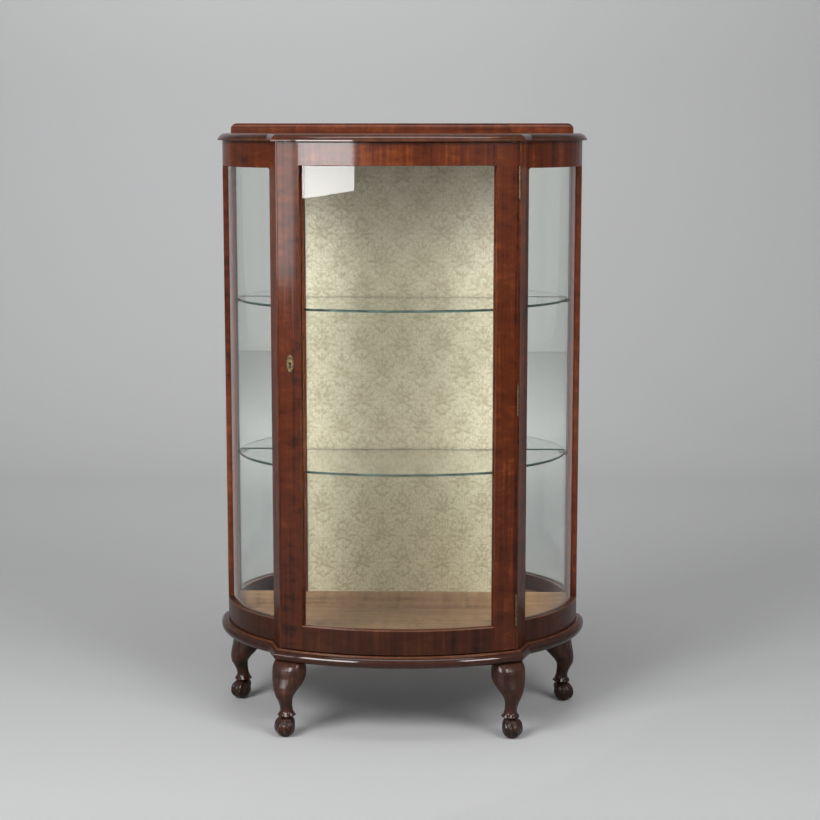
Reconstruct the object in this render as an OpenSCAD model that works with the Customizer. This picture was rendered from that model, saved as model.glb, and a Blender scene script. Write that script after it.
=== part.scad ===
// China display cabinet with a bowed glass door and quarter-round bent glass sides.
// Millimetres, +Z up, front towards -Y. The origin is on the floor, under the
// middle of the cabinet's overall box.

/* [Carcass] */
// Width of the carcass across its back
carcass_w = 740; // [700:1:800]
// Depth of the carcass from its back to the middle of the bowed front
carcass_d = 342; // [335:1:362]
// Height of the carcass between the base and the top board
carcass_h = 1000; // [850:1:1150]
// Radius of the bowed front in plan
bow_r = 530; // [450:1:700]
// How far the quarter-round sides stay behind the middle of the bowed front
side_setback = 52; // [44:1:67]
// Half the width of the projecting front
break_x = 236; // [228:1:242]
// Half the width where the return of the front meets the round side
break_side_x = 253; // [248:1:258]
// Thickness of the side frames
side_t = 22; // [20:0.5:26]
// Depth of each rear post, measured round the side
post_d = 38; // [32:1:48]
// Height of the bottom rails of the sides
side_rail_h = 46; // [36:1:60]
// Height of the frieze rails of the sides
frieze_h = 52; // [40:1:70]
// Width of each front stile beside the door
stile_face_w = 3.4; // [3:0.1:6]
// How far the front stiles stand behind the edge of the door
stop_w = 9; // [6:0.5:14]
// Depth of the front stiles behind the door
stile_d = 25; // [20:1:32]
// Depth of the top rail behind the door
top_rail_d = 26; // [18:1:32]
// Height of the top rail behind the door
top_rail_h = 36; // [24:1:42]

/* [Glazing] */
// Thickness of the bent glass in the sides and the door
glass_t = 4; // [3:0.5:5]
// Thickness of the wooden lip in front of the glass
lip_t = 8; // [6:0.5:9.5]
// Cover of the lip over the edge of the glass
rebate = 7; // [5:0.5:9]
// Clearance round each pane
glass_gap = 0.4; // [0.2:0.1:1]

/* [Base] */
// Height of the legs
leg_h = 152; // [120:1:200]
// Height of the base moulding
base_h = 24; // [20:0.5:36]
// Overhang of the base moulding beyond the carcass
base_overhang = 15; // [11:0.5:24]
// Width of the flat fillet on top of the base moulding
base_fillet_w = 6.5; // [4:0.5:9]
// Height of the step under that fillet
base_step_h = 3; // [2:0.5:5]
// Width of the moulding strips behind the face of the carcass
moulding_inset = 12; // [8:1:20]
// Thickness of the glue line in the mitres of the mouldings
glue_line = 0.05; // [0.02:0.01:0.2]
// Thickness of the cabinet floor
floor_t = 13; // [9:0.5:20]

/* [Top] */
// Thickness of the top board and its moulding
top_t = 14; // [12:0.5:22]
// Overhang of the top moulding beyond the carcass
top_overhang = 10; // [8:0.5:15]
// Height of the flat lower edge of the top moulding
top_lip_h = 3.5; // [2.5:0.5:5]
// Width of the step above that edge
top_step_w = 2; // [1:0.5:4]
// Height of the gallery on the top board
gallery_h = 20; // [14:1:40]
// Width of the whole gallery
gallery_w = 700; // [600:1:730]
// Depth of the gallery at its ends
gallery_d = 34; // [28:1:60]
// Width of the projecting middle of the gallery
gallery_mid_w = 434; // [300:1:560]
// How far that middle stands forward
gallery_step = 12; // [6:1:20]
// Radius of the rounded upper edge of the gallery
gallery_round = 12; // [6:1:14]

/* [Back] */
// Thickness of the back panel
back_t = 8; // [5:0.5:12]
// Set-back of the back panel from the rear of the posts
back_recess = 1; // [0.5:0.5:3]
// Cover of the posts over the edge of the back panel
back_cover = 8; // [7:0.5:10]
// Thickness of the mirror plates
mirror_t = 4; // [3:0.5:5]
// Cover of the posts over the edge of the mirrors
mirror_cover = 4; // [3:0.5:5]
// Width of the fabric-lined panel
lining_w = 402; // [300:1:480]
// Thickness of the fabric-lined panel
lining_t = 3; // [2:0.5:6]
// Width of the beads between the lining and the mirrors
bead_w = 10; // [6:0.5:16]
// Thickness of those beads
bead_t = 8; // [5:0.5:12]
// Height of the skirting along the bottom of the back
skirting_h = 36; // [20:1:60]
// Thickness of that skirting
skirting_t = 5.5; // [4:0.5:10]
// Height of the rail along the top of the back
back_rail_h = 36; // [24:1:42]
// Thickness of that rail
back_rail_t = 14; // [8:0.5:20]

/* [Shelves] */
// Thickness of the glass shelves
shelf_t = 5; // [4:0.5:8]
// Height of the lower shelf above the cabinet floor
lower_shelf_h = 344; // [200:1:420]
// Height of the upper shelf above the cabinet floor
upper_shelf_h = 665; // [500:1:780]
// Gap between the shelves and the side frames
shelf_side_gap = 6; // [4:0.5:12]
// Gap between the shelves and the closed door
shelf_front_gap = 12; // [10:0.5:20]
// Gap between the shelves and the back
shelf_back_gap = 1.5; // [1:0.5:4]
// Gap between the shelves and the front stiles
shelf_stile_gap = 4; // [2:0.5:8]
// Radius of the shelf studs
stud_r = 2.5; // [2:0.1:3.5]
// How far the studs carry the shelves
stud_reach = 10; // [7:0.5:16]
// Depth of the stud holes
stud_hole = 8; // [6:0.5:12]
// Radial clearance of the studs in their holes
stud_gap = 0.05; // [0.02:0.01:0.1]

/* [Door] */
// Thickness of the door
door_t = 20; // [18:0.5:24]
// Gap between each side of the door and its stile
door_side_gap = 0.8; // [0.6:0.1:1.5]
// Gap above the door
door_top_gap = 1.5; // [1:0.1:3]
// Gap below the door
door_bottom_gap = 1.5; // [1:0.1:3]
// Gap between the back of the door and its stops
door_stop_gap = 1; // [0.5:0.1:2]
// Width of the door stiles
door_stile_w = 46; // [40:1:60]
// Height of the top rail of the door
door_top_rail_h = 44.5; // [40:0.5:60]
// Height of the bottom rail of the door
door_bottom_rail_h = 49; // [40:0.5:70]

/* [Hinges] */
// Length of the butt hinges
hinge_len = 60; // [50:1:75]
// Distance from the top of the carcass to the middle of the top hinge
top_hinge_drop = 79; // [60:1:160]
// Distance from the bottom of the carcass to the middle of the bottom hinge
bottom_hinge_rise = 81; // [60:1:160]
// Radius of the hinge knuckles
knuckle_r = 2.8; // [2.5:0.1:3.2]
// Radius of the hinge pins
pin_r = 1.25; // [1:0.05:1.5]
// Radial clearance of the pins in the knuckles
pin_gap = 0.05; // [0.02:0.01:0.1]
// How far the pins stand in front of the door
pin_proud = 2; // [1.5:0.1:2.4]
// Height of the turned tips of the pins
pin_tip = 1.5; // [0.8:0.1:2.5]
// Thickness of the hinge leaves
leaf_t = 1.5; // [1.2:0.1:2]
// Width of the hinge leaves behind the face of the door
leaf_w = 15; // [12:0.5:17]
// Gap between neighbouring knuckles
knuckle_gap = 0.3; // [0.2:0.1:0.5]
// Number of knuckles on each hinge
knuckles = 5; // [3:2:7]
// Radius of the screw heads
screw_head_r = 2.8; // [2.2:0.1:3]
// Radius of the screw shanks
screw_r = 1.4; // [1:0.1:1.6]
// Length of the screws in the door
door_screw_len = 14; // [8:0.5:20]
// Length of the screws in the front stiles
stile_screw_len = 6.5; // [4:0.5:7]

/* [Lock] */
// Height of the keyhole above the bottom of the carcass
lock_h = 572; // [400:1:700]
// Distance from the edge of the door to the keyhole
keyhole_inset = 25; // [20:0.5:27]
// Height of the lock case
case_h = 44; // [36:1:60]
// Width of the lock case
case_w = 34; // [33:0.5:38]
// Thickness of the lock case
case_t = 10; // [9:0.5:11]
// Thickness of the walls of the lock case
case_wall = 1.2; // [0.8:0.1:1.6]
// Height of the face plate of the lock
selvedge_h = 60; // [56:1:80]
// Thickness of the bolt
bolt_t = 4; // [3:0.5:5]
// Height of the bolt
bolt_h = 12; // [8:0.5:16]
// Length of the bolt
bolt_len = 19; // [14:0.5:20]
// Travel of the bolt
bolt_travel = 6; // [4:0.5:6.5]
// Clearance beyond the end of the thrown bolt
bolt_end_gap = 1; // [0.5:0.1:1.5]
// Clearance round the bolt
bolt_gap = 0.3; // [0.2:0.05:0.5]
// Thickness of the keep plate in the stile
keep_t = 1.2; // [0.8:0.1:1.6]
// Height of the keep plate
keep_h = 40; // [36:1:60]
// Width of the escutcheon
escutcheon_w = 17; // [14:0.5:24]
// Height of the escutcheon
escutcheon_h = 37; // [30:0.5:46]
// Thickness of the escutcheon
escutcheon_t = 1.6; // [1:0.1:2.5]

/* [Legs] */
// Distance between the middles of the front feet
front_feet_w = 452; // [400:1:480]
// Distance of the front feet behind the middle of the bowed front
front_feet_setback = 39; // [32:1:62]
// Distance between the middles of the rear feet
rear_feet_w = 686; // [620:1:700]
// Distance of the rear feet from the back of the carcass
rear_feet_d = 47; // [40:1:80]
// Turn of the front legs from straight sideways
front_leg_turn = 62; // [40:1:80]
// Turn of the rear legs from straight sideways
rear_leg_turn = 24; // [0:1:50]
// Width of the knee
knee_w = 66; // [48:1:72]
// Depth of the knee
knee_d = 56; // [44:1:62]
// How far the top of the leg stands behind the middle of the foot
knee_back = 17; // [8:0.5:22]
// Radius of the ankle
ankle_r = 12; // [9:0.5:15]
// How far the ankle stands behind the middle of the foot
ankle_back = 6; // [0:0.5:8]
// Radius of the collar above the foot
collar_r = 16.5; // [14:0.5:20]
// Thickness of the collar
collar_t = 9; // [5:0.5:12]
// Radius of the ball foot
ball_r = 21.5; // [18:0.5:26]
// Height of the ball foot
ball_h = 40; // [30:0.5:44]

/* [Hidden] */
$fn = 128;

// Overshoot of a cutting tool past the face that it cuts
cut = 1;
// Margin that takes a half-plane well past the cabinet
far = 400;

// Heights of the main levels
carcass_z0 = leg_h + base_h;
carcass_z1 = carcass_z0 + carcass_h;
floor_z = carcass_z0 + floor_t;
side_sight_z0 = carcass_z0 + side_rail_h;
side_sight_z1 = carcass_z1 - frieze_h;
door_z0 = carcass_z0 + door_bottom_gap;
door_z1 = carcass_z1 - door_top_gap;
door_sight_z0 = door_z0 + door_bottom_rail_h;
door_sight_z1 = door_z1 - door_top_rail_h;
lock_z = carcass_z0 + lock_h;
lower_shelf_z = floor_z + lower_shelf_h;
upper_shelf_z = floor_z + upper_shelf_h;

// Radius of the quarter-round sides in plan, and the front feet's distance from the back
side_r = carcass_d - side_setback;
front_feet_d = carcass_d - front_feet_setback;

// Plan centres: the back plane lies at back_y
back_y = (carcass_d + base_overhang) / 2;
bow_y = back_y - carcass_d + bow_r;
side_x = carcass_w / 2 - side_r;

// Angles round the bow, from straight ahead
function arc_deg(length, r) = length / r * 180 / PI;
a_break = asin(break_x / bow_r);
a_open = a_break - arc_deg(stile_face_w, bow_r);
a_door = a_open - arc_deg(door_side_gap, bow_r);
a_joint = (a_open + a_door) / 2;
a_sight = a_door - arc_deg(door_stile_w, bow_r);
a_rebate = arc_deg(rebate, bow_r);
a_gap = arc_deg(glass_gap, bow_r);
a_stop = a_open - arc_deg(stop_w, bow_r);
a_keyhole = a_door - arc_deg(keyhole_inset, bow_r);

// Angles round a side, from straight sideways
t_stile = acos((break_side_x - side_x) / side_r);
t_post = arc_deg(post_d, side_r);
t_rebate = arc_deg(rebate, side_r);
t_gap = arc_deg(glass_gap, side_r);

// Radii of the door and of what lies behind it
door_back_r = bow_r - door_t;
stop_r = door_back_r - door_stop_gap;
door_pane_r = bow_r - lip_t - glass_gap;
side_pane_r = side_r - lip_t - glass_gap;
side_back_r = side_r - side_t;

// Faces of the back, as distances in front of the back plane
back_face = back_recess + back_t;
mirror_face = back_face + mirror_t;
post_inner_x = side_x + side_back_r;
mirror_z0 = floor_z + skirting_h;
mirror_z1 = carcass_z1 - back_rail_h;

// Heights of the hinges
bottom_hinge_z = carcass_z0 + bottom_hinge_rise;
top_hinge_z = carcass_z1 - top_hinge_drop;
hinge_zs = [bottom_hinge_z, (bottom_hinge_z + top_hinge_z) / 2, top_hinge_z];
knuckle_len = hinge_len / knuckles;
screw_pitch = hinge_len / 3;
screw_y = leaf_w * 0.68;
screw_cone = screw_head_r - screw_r;
thread_gap = 0.05;

// Depth of the lock behind the face of the door
case_y = door_t - case_t - door_stop_gap / 4;
bolt_y = case_y + (case_t - bolt_t) / 2;
lock_screw_z = (case_h + selvedge_h) / 4;
mortise = bolt_travel + bolt_end_gap;

// Points on the bow and on the right-hand side, in plan
function bow_pt(r, a) = [r * sin(a), bow_y - r * cos(a)];
function side_pt(r, t) = [side_x + r * cos(t), back_y - r * sin(t)];
function unit(v) = v / norm(v);

// Half the clear width between the posts at a distance d in front of the back plane
function inner_x(d) = side_x + sqrt(side_back_r * side_back_r - d * d);

// The return between the bow and the right-hand side
return_front = bow_pt(bow_r, a_break);
return_back = side_pt(side_r, t_stile);
return_dir = unit(return_back - return_front);
return_out = [return_dir.y, -return_dir.x];

// Where the return, moved outwards by o, crosses a circle of centre c and radius r
function along(o, c, r, sign) =
    let (p = return_front + o * return_out - c,
         b = p * return_dir,
         d = sqrt(b * b - p * p + r * r))
    c + p + (sign * d - b) * return_dir;
function outer_corner(o) = along(o, [0, bow_y], bow_r + o, -1);
function inner_corner(o) = along(o, [side_x, back_y], side_r + o, -1);

// The inner face of the right-hand front stile, which carries the studs
stile_rear = side_pt(side_back_r, t_stile);
stile_inner = bow_pt(stop_r - stile_d, a_stop);
stile_side = unit(stile_inner - stile_rear);
stile_normal = [stile_side.y, -stile_side.x];
stile_mid = (stile_rear + stile_inner) / 2;
stud_len = norm(stile_mid - [side_x, back_y]) - side_back_r + shelf_side_gap + stud_reach;
rear_stud_y = back_y - (mirror_face + post_d) / 2;

// Finishes
mahogany = [0.33, 0.13, 0.07];
dark_wood = [0.22, 0.10, 0.06];
floor_wood = [0.50, 0.34, 0.22];
plywood = [0.62, 0.47, 0.32];
brass = [0.62, 0.52, 0.30];
steel = [0.55, 0.54, 0.50];
clear_glass = [0.78, 0.86, 0.83, 0.35];
silver = [0.72, 0.75, 0.75];
damask = [0.78, 0.74, 0.58];

// ---- Shared shapes ----

// Part of a ring about the bow's centre
module bow_ring(r0, r1, a0, a1, z0, z1) {
    translate([0, bow_y, z0])
        rotate([0, 0, a0 - 90])
            rotate_extrude(angle = a1 - a0, $fn = 720)
                translate([r0, 0]) square([r1 - r0, z1 - z0]);
}

// Part of a ring about the right-hand side's centre
module side_ring(r0, r1, t0, t1, z0, z1) {
    translate([side_x, back_y, z0])
        rotate([0, 0, -t1])
            rotate_extrude(angle = t1 - t0, $fn = 360)
                translate([r0, 0]) square([r1 - r0, z1 - z0]);
}

// Everything to the right of the line from p to q, in plan, with half a glue line
module right_of(p, q, z0, z1) {
    u = unit(q - p);
    n = [u.y, -u.x];
    a = p - far * u - glue_line / 2 * n;
    b = q + far * u - glue_line / 2 * n;
    translate([0, 0, z0]) linear_extrude(z1 - z0) polygon([a, b, b + far * n, a + far * n]);
}

// The outline of the cabinet in plan, moved outwards by o
module plan_block(o, z0, z1) {
    tail = side_r / 4;
    p = return_front + o * return_out - tail * return_dir;
    q = return_back + o * return_out + tail * return_dir;
    intersection() {
        union() {
            for (s = [-1, 1])
                translate([s * side_x, back_y, z0]) cylinder(r = side_r + o, h = z1 - z0, $fn = 360);
            translate([-side_x, back_y - side_r - o, z0])
                cube([2 * side_x, side_r + o, z1 - z0]);
            intersection() {
                translate([0, bow_y, z0]) cylinder(r = bow_r + o, h = z1 - z0, $fn = 720);
                translate([0, 0, z0])
                    linear_extrude(z1 - z0) polygon([p, q, [-q.x, q.y], [-p.x, p.y]]);
            }
        }
        translate([-carcass_w, back_y - 2 * carcass_d, z0 - cut])
            cube([2 * carcass_w, 2 * carcass_d, z1 - z0 + 2 * cut]);
    }
}

// A moulding's section swept along the bow, mitred at both ends
module front_moulding(over, z) {
    height = top_t + base_h;
    in = outer_corner(-moulding_inset);
    out = outer_corner(over);
    spread = a_break + arc_deg(over + moulding_inset, bow_r);
    difference() {
        translate([0, bow_y, z])
            rotate([0, 0, -spread - 90])
                rotate_extrude(angle = 2 * spread, $fn = 720)
                    translate([bow_r, 0]) children();
        right_of(out, in, z - cut, z + height);
        mirror([1, 0, 0]) right_of(out, in, z - cut, z + height);
    }
}

// The same section along the right-hand return, mitred at both ends
module return_moulding(over, z) {
    height = top_t + base_h;
    extra = over + moulding_inset;
    start = return_back + extra * return_dir;
    difference() {
        translate([start.x, start.y, z])
            rotate([90, 0, atan2(return_out.y, return_out.x)])
                linear_extrude(norm(return_back - return_front) + 2 * extra) children();
        right_of(outer_corner(-moulding_inset), outer_corner(over), z - cut, z + height);
        right_of(inner_corner(over), inner_corner(-moulding_inset), z - cut, z + height);
    }
}

// The same section round the right-hand side, mitred at the return
module side_moulding(over, z) {
    turn = t_stile + arc_deg(over + moulding_inset, side_r);
    difference() {
        translate([side_x, back_y, z])
            rotate([0, 0, -turn])
                rotate_extrude(angle = turn, $fn = 360)
                    translate([side_r, 0]) children();
        right_of(inner_corner(-moulding_inset), inner_corner(over), z - cut, z + top_t + base_h);
    }
}

// The tangent frame at angle a of the bow: X along the door, Y into the cabinet
module at_bow(a, z) {
    translate([0, bow_y, 0])
        rotate([0, 0, a])
            translate([0, -bow_r, z]) children();
}

// ---- Top ----

// Section of the top moulding, from the face of the carcass
module top_section() {
    round_r = top_t - top_lip_h;
    round_x = top_overhang - top_step_w - round_r;
    steps = 10;
    translate([-moulding_inset, 0]) square([moulding_inset + top_overhang, top_lip_h]);
    translate([-moulding_inset, 0]) square([moulding_inset + round_x, top_t]);
    translate([round_x, top_lip_h])
        polygon([[0, 0], for (i = [0 : steps]) round_r * [cos(i * 90 / steps), sin(i * 90 / steps)]]);
}

module top_board() {
    color(mahogany) plan_block(-moulding_inset, carcass_z1, carcass_z1 + top_t);
}

module top_moulding_front() {
    color(mahogany) front_moulding(top_overhang, carcass_z1) top_section();
}

module top_moulding_right() {
    color(mahogany) {
        return_moulding(top_overhang, carcass_z1) top_section();
        side_moulding(top_overhang, carcass_z1) top_section();
    }
}

module top_moulding_left() {
    mirror([1, 0, 0]) top_moulding_right();
}

// A quarter of a disc, rising towards +X
module quarter_round(r) {
    intersection() {
        circle(r);
        translate([-r, 0]) square([r, r]);
    }
}

// A low block with a rounded upper edge along its front and both ends
module gallery_block(w, d) {
    z = carcass_z1 + top_t;
    straight = gallery_h - gallery_round;
    intersection() {
        translate([-w / 2, back_y, z])
            rotate([90, 0, 90])
                linear_extrude(w) union() {
                    translate([-d, 0]) square([d, straight]);
                    translate([gallery_round - d, 0]) square([d - gallery_round, gallery_h]);
                    translate([gallery_round - d, straight]) quarter_round(gallery_round);
                }
        translate([0, back_y, z])
            rotate([90, 0, 0])
                linear_extrude(d) union() {
                    translate([-w / 2, 0]) square([w, straight]);
                    translate([gallery_round - w / 2, 0]) square([w - 2 * gallery_round, gallery_h]);
                    for (s = [0, 1])
                        mirror([s, 0, 0])
                            translate([gallery_round - w / 2, straight]) quarter_round(gallery_round);
                }
    }
}

module gallery_middle() {
    z = carcass_z1 + top_t;
    color(mahogany)
        intersection() {
            union() {
                gallery_block(gallery_w, gallery_d);
                gallery_block(gallery_mid_w, gallery_d + gallery_step);
            }
            translate([-gallery_mid_w / 2, back_y - far, z - cut])
                cube([gallery_mid_w, far + cut, gallery_h + 2 * cut]);
        }
}

module gallery_right() {
    z = carcass_z1 + top_t;
    color(mahogany)
        intersection() {
            gallery_block(gallery_w, gallery_d);
            translate([gallery_mid_w / 2, back_y - far, z - cut])
                cube([gallery_w, far + cut, gallery_h + 2 * cut]);
        }
}

module gallery_left() {
    mirror([1, 0, 0]) gallery_right();
}

// ---- Side frames ----

module frieze_right() {
    color(mahogany)
        difference() {
            side_ring(side_back_r, side_r, t_post, t_stile, side_sight_z1, carcass_z1);
            side_ring(side_back_r - cut, side_r - lip_t, t_post - cut, t_stile + cut,
                      side_sight_z1 - cut, side_sight_z1 + rebate);
        }
}

module frieze_left() {
    mirror([1, 0, 0]) frieze_right();
}

module side_rail_right() {
    color(mahogany)
        difference() {
            side_ring(side_back_r, side_r, t_post, t_stile, carcass_z0, side_sight_z0);
            side_ring(side_back_r - cut, side_r - lip_t, t_post - cut, t_stile + cut,
                      side_sight_z0 - rebate, side_sight_z0 + cut);
        }
}

module side_rail_left() {
    mirror([1, 0, 0]) side_rail_right();
}

// Space for the glass and its bead at the edges of a side opening
module side_rebate() {
    side_ring(side_back_r - 2 * cut, side_r - lip_t, t_post - t_rebate, t_stile + t_rebate,
              side_sight_z0 - rebate, side_sight_z1 + rebate);
}

module rear_post_right() {
    height = carcass_h + 2 * cut;
    color(mahogany)
        difference() {
            side_ring(side_back_r, side_r, 0, t_post, carcass_z0, carcass_z1);
            side_rebate();
            translate([0, back_y - back_face, carcass_z0 - cut])
                cube([post_inner_x + mirror_cover + back_cover, far, height]);
            translate([0, back_y - mirror_face - glass_gap, carcass_z0 - cut])
                cube([post_inner_x + mirror_cover + glass_gap, far, height]);
            stud_holes();
            back_screw_holes();
        }
}

module rear_post_left() {
    mirror([1, 0, 0]) rear_post_right();
}

// Plan of the right-hand front stile
module stile_plan() {
    polygon([
        bow_pt(bow_r, a_open),
        return_front,
        return_back,
        stile_rear,
        stile_inner,
        bow_pt(stop_r, a_stop),
        bow_pt(stop_r, a_open),
    ]);
}

module stile_body() {
    difference() {
        translate([0, 0, carcass_z0]) linear_extrude(carcass_h) stile_plan();
        side_rebate();
        stud_holes();
    }
}

module front_stile_right() {
    color(mahogany)
        difference() {
            stile_body();
            for (z = hinge_zs) at_bow(a_joint, z) {
                knuckle_pocket();
                translate([0, -cut, -hinge_len / 2])
                    cube([door_side_gap / 2 + leaf_t, leaf_w + cut, hinge_len]);
            }
            frame_screw_set(thread_gap);
        }
}

module front_stile_left() {
    color(mahogany)
        difference() {
            mirror([1, 0, 0]) stile_body();
            at_bow(-a_open, lock_z) {
                translate([-keep_t, bolt_y - case_wall, -keep_h / 2])
                    cube([keep_t + cut, bolt_t + 2 * case_wall, keep_h]);
                translate([-mortise, bolt_y - bolt_gap, -bolt_h / 2 - bolt_gap])
                    cube([mortise + cut, bolt_t + 2 * bolt_gap, bolt_h + 2 * bolt_gap]);
            }
            keep_screw_set(thread_gap);
        }
}

module side_glass_right() {
    color(clear_glass)
        side_ring(side_pane_r - glass_t, side_pane_r,
                  t_post - t_rebate + t_gap, t_stile + t_rebate - t_gap,
                  side_sight_z0 - rebate + glass_gap, side_sight_z1 + rebate - glass_gap);
}

module side_glass_left() {
    mirror([1, 0, 0]) side_glass_right();
}

module side_bead_right() {
    r1 = side_pane_r - glass_t - glass_gap / 4;
    color(mahogany)
        difference() {
            side_ring(side_back_r, r1, t_post - t_rebate, t_stile + t_rebate,
                      side_sight_z0 - rebate, side_sight_z1 + rebate);
            side_ring(side_back_r - cut, r1 + cut, t_post, t_stile, side_sight_z0, side_sight_z1);
        }
}

module side_bead_left() {
    mirror([1, 0, 0]) side_bead_right();
}

module top_rail_front() {
    color(dark_wood)
        bow_ring(stop_r - top_rail_d, stop_r, -a_stop, a_stop, carcass_z1 - top_rail_h, carcass_z1);
}

// ---- Base ----

// Section of the base moulding, from the face of the carcass
module base_section() {
    nose_r = (base_h - base_step_h) / 2;
    nose_x = base_overhang - nose_r;
    translate([-moulding_inset, 0]) square([moulding_inset + nose_x, base_h - base_step_h]);
    translate([-moulding_inset, nose_r]) square([moulding_inset + base_fillet_w, base_h - nose_r]);
    translate([nose_x, nose_r]) circle(nose_r);
}

module base_board() {
    color(dark_wood) plan_block(-moulding_inset, leg_h, carcass_z0);
}

module base_moulding_front() {
    color(mahogany) front_moulding(base_overhang, leg_h) base_section();
}

module base_moulding_right() {
    color(mahogany) {
        return_moulding(base_overhang, leg_h) base_section();
        side_moulding(base_overhang, leg_h) base_section();
    }
}

module base_moulding_left() {
    mirror([1, 0, 0]) base_moulding_right();
}

module floor_board() {
    color(floor_wood)
        difference() {
            intersection() {
                plan_block(-side_t, carcass_z0, floor_z);
                translate([0, bow_y, carcass_z0 - cut])
                    cylinder(r = stop_r, h = floor_t + 2 * cut, $fn = 720);
                translate([-carcass_w, back_y - back_face - carcass_d, carcass_z0 - cut])
                    cube([2 * carcass_w, carcass_d, floor_t + 2 * cut]);
            }
            for (s = [0, 1])
                mirror([s, 0, 0])
                    translate([0, 0, carcass_z0 - cut]) linear_extrude(floor_t + 2 * cut) stile_plan();
        }
}

// ---- Back ----

module back_panel() {
    w = 2 * (post_inner_x + mirror_cover + back_cover) - 2 * glass_gap;
    color(plywood)
        difference() {
            translate([-w / 2, back_y - back_face, carcass_z0]) cube([w, back_t, carcass_h]);
            back_screw_holes();
            mirror([1, 0, 0]) back_screw_holes();
        }
}

// Where the screws through the right-hand edge of the back panel go
module at_back_screws() {
    count = 5;
    x = post_inner_x + mirror_cover + back_cover / 2;
    for (i = [0 : count - 1])
        translate([x, back_y - back_recess, carcass_z0 + carcass_h * (i + 0.5) / count])
            rotate([90, 0, 0]) children();
}

module back_screw(gap) {
    translate([0, 0, -back_recess]) cylinder(r = screw_head_r, h = back_recess, $fn = 32);
    cylinder(r = screw_r + gap, h = back_t + screw_head_r * 3, $fn = 32);
}

module back_screw_holes() {
    at_back_screws() cylinder(r = screw_r + thread_gap, h = back_t + screw_head_r * 3, $fn = 32);
}

module back_screws() {
    color(steel)
        for (s = [0, 1]) mirror([s, 0, 0]) at_back_screws() back_screw(0);
}

module back_top_rail() {
    w = 2 * inner_x(back_face + back_rail_t);
    color(dark_wood)
        translate([-w / 2, back_y - back_face - back_rail_t, carcass_z1 - back_rail_h])
            cube([w, back_rail_t, back_rail_h]);
}

module back_skirting() {
    w = 2 * inner_x(back_face + skirting_t);
    color(floor_wood)
        translate([-w / 2, back_y - back_face - skirting_t, floor_z])
            cube([w, skirting_t, skirting_h]);
}

module mirror_right() {
    x0 = lining_w / 2 + bead_w;
    x1 = post_inner_x + mirror_cover;
    color(silver)
        translate([x0, back_y - mirror_face, mirror_z0])
            cube([x1 - x0, mirror_t, mirror_z1 - mirror_z0]);
}

module mirror_left() {
    mirror([1, 0, 0]) mirror_right();
}

module lining_panel() {
    color(damask)
        translate([-lining_w / 2, back_y - back_face - lining_t, mirror_z0])
            cube([lining_w, lining_t, mirror_z1 - mirror_z0]);
}

module lining_bead_right() {
    color(mahogany)
        translate([lining_w / 2, back_y - back_face - bead_t, mirror_z0])
            cube([bead_w, bead_t, mirror_z1 - mirror_z0]);
}

module lining_bead_left() {
    mirror([1, 0, 0]) lining_bead_right();
}

// ---- Shelves ----

module shelf(z) {
    r = side_back_r - shelf_side_gap;
    x = stile_inner.x - shelf_stile_gap;
    rear = max(mirror_face, back_face + bead_t) + shelf_back_gap;
    color(clear_glass)
        intersection() {
            union() {
                for (s = [-1, 1])
                    translate([s * side_x, back_y, z - shelf_t]) cylinder(r = r, h = shelf_t, $fn = 360);
                translate([-side_x, back_y - r, z - shelf_t]) cube([2 * side_x, r, shelf_t]);
                intersection() {
                    translate([0, bow_y, z - shelf_t])
                        cylinder(r = door_back_r - shelf_front_gap, h = shelf_t, $fn = 720);
                    translate([-x, back_y - carcass_d, z - shelf_t]) cube([2 * x, carcass_d, shelf_t]);
                }
            }
            translate([-carcass_w, back_y - rear - carcass_d, z - shelf_t - cut])
                cube([2 * carcass_w, carcass_d, shelf_t + 2 * cut]);
        }
}

module lower_shelf() {
    shelf(lower_shelf_z);
}

module upper_shelf() {
    shelf(upper_shelf_z);
}

// The two studs that carry one end of a shelf, pointing out of the cabinet
module at_studs() {
    for (z = [lower_shelf_z, upper_shelf_z]) {
        translate([post_inner_x, rear_stud_y, z - shelf_t - stud_r])
            rotate([0, 90, 0]) children();
        translate([stile_mid.x, stile_mid.y, z - shelf_t - stud_r])
            rotate([0, 90, atan2(-stile_normal.y, -stile_normal.x)]) children();
    }
}

module stud_holes() {
    at_studs()
        translate([0, 0, -stud_reach])
            cylinder(r = stud_r + stud_gap, h = stud_hole + stud_reach, $fn = 32);
}

module shelf_studs() {
    color(brass)
        for (s = [0, 1]) mirror([s, 0, 0]) {
            at_studs()
                translate([0, 0, -stud_len])
                    cylinder(r = stud_r, h = stud_len + stud_hole - cut, $fn = 32);
        }
}

// ---- Door ----

// Space for the glass and its bead inside the door's frame
module door_rebate() {
    bow_ring(door_back_r - cut, bow_r - lip_t, -a_sight - a_rebate, a_sight + a_rebate,
             door_sight_z0 - rebate, door_sight_z1 + rebate);
}

module door_stile_lock() {
    color(mahogany)
        difference() {
            bow_ring(door_back_r, bow_r, -a_door, -a_sight, door_z0, door_z1);
            door_rebate();
            at_bow(-a_door, lock_z) {
                translate([-cut, case_y, -case_h / 2]) cube([case_w + cut, door_t, case_h]);
                translate([-cut, case_y, -selvedge_h / 2]) cube([case_wall + cut, door_t, selvedge_h]);
            }
            at_bow(-a_keyhole, lock_z) keyhole(-cut, case_y + cut);
            lock_screw_set(thread_gap);
        }
}

module door_stile_hinge() {
    color(mahogany)
        difference() {
            bow_ring(door_back_r, bow_r, a_sight, a_door, door_z0, door_z1);
            door_rebate();
            for (z = hinge_zs) at_bow(a_joint, z) {
                knuckle_pocket();
                translate([-door_side_gap / 2 - leaf_t, -cut, -hinge_len / 2])
                    cube([door_side_gap / 2 + leaf_t, leaf_w + cut, hinge_len]);
            }
            door_screw_set(thread_gap);
        }
}

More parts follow.
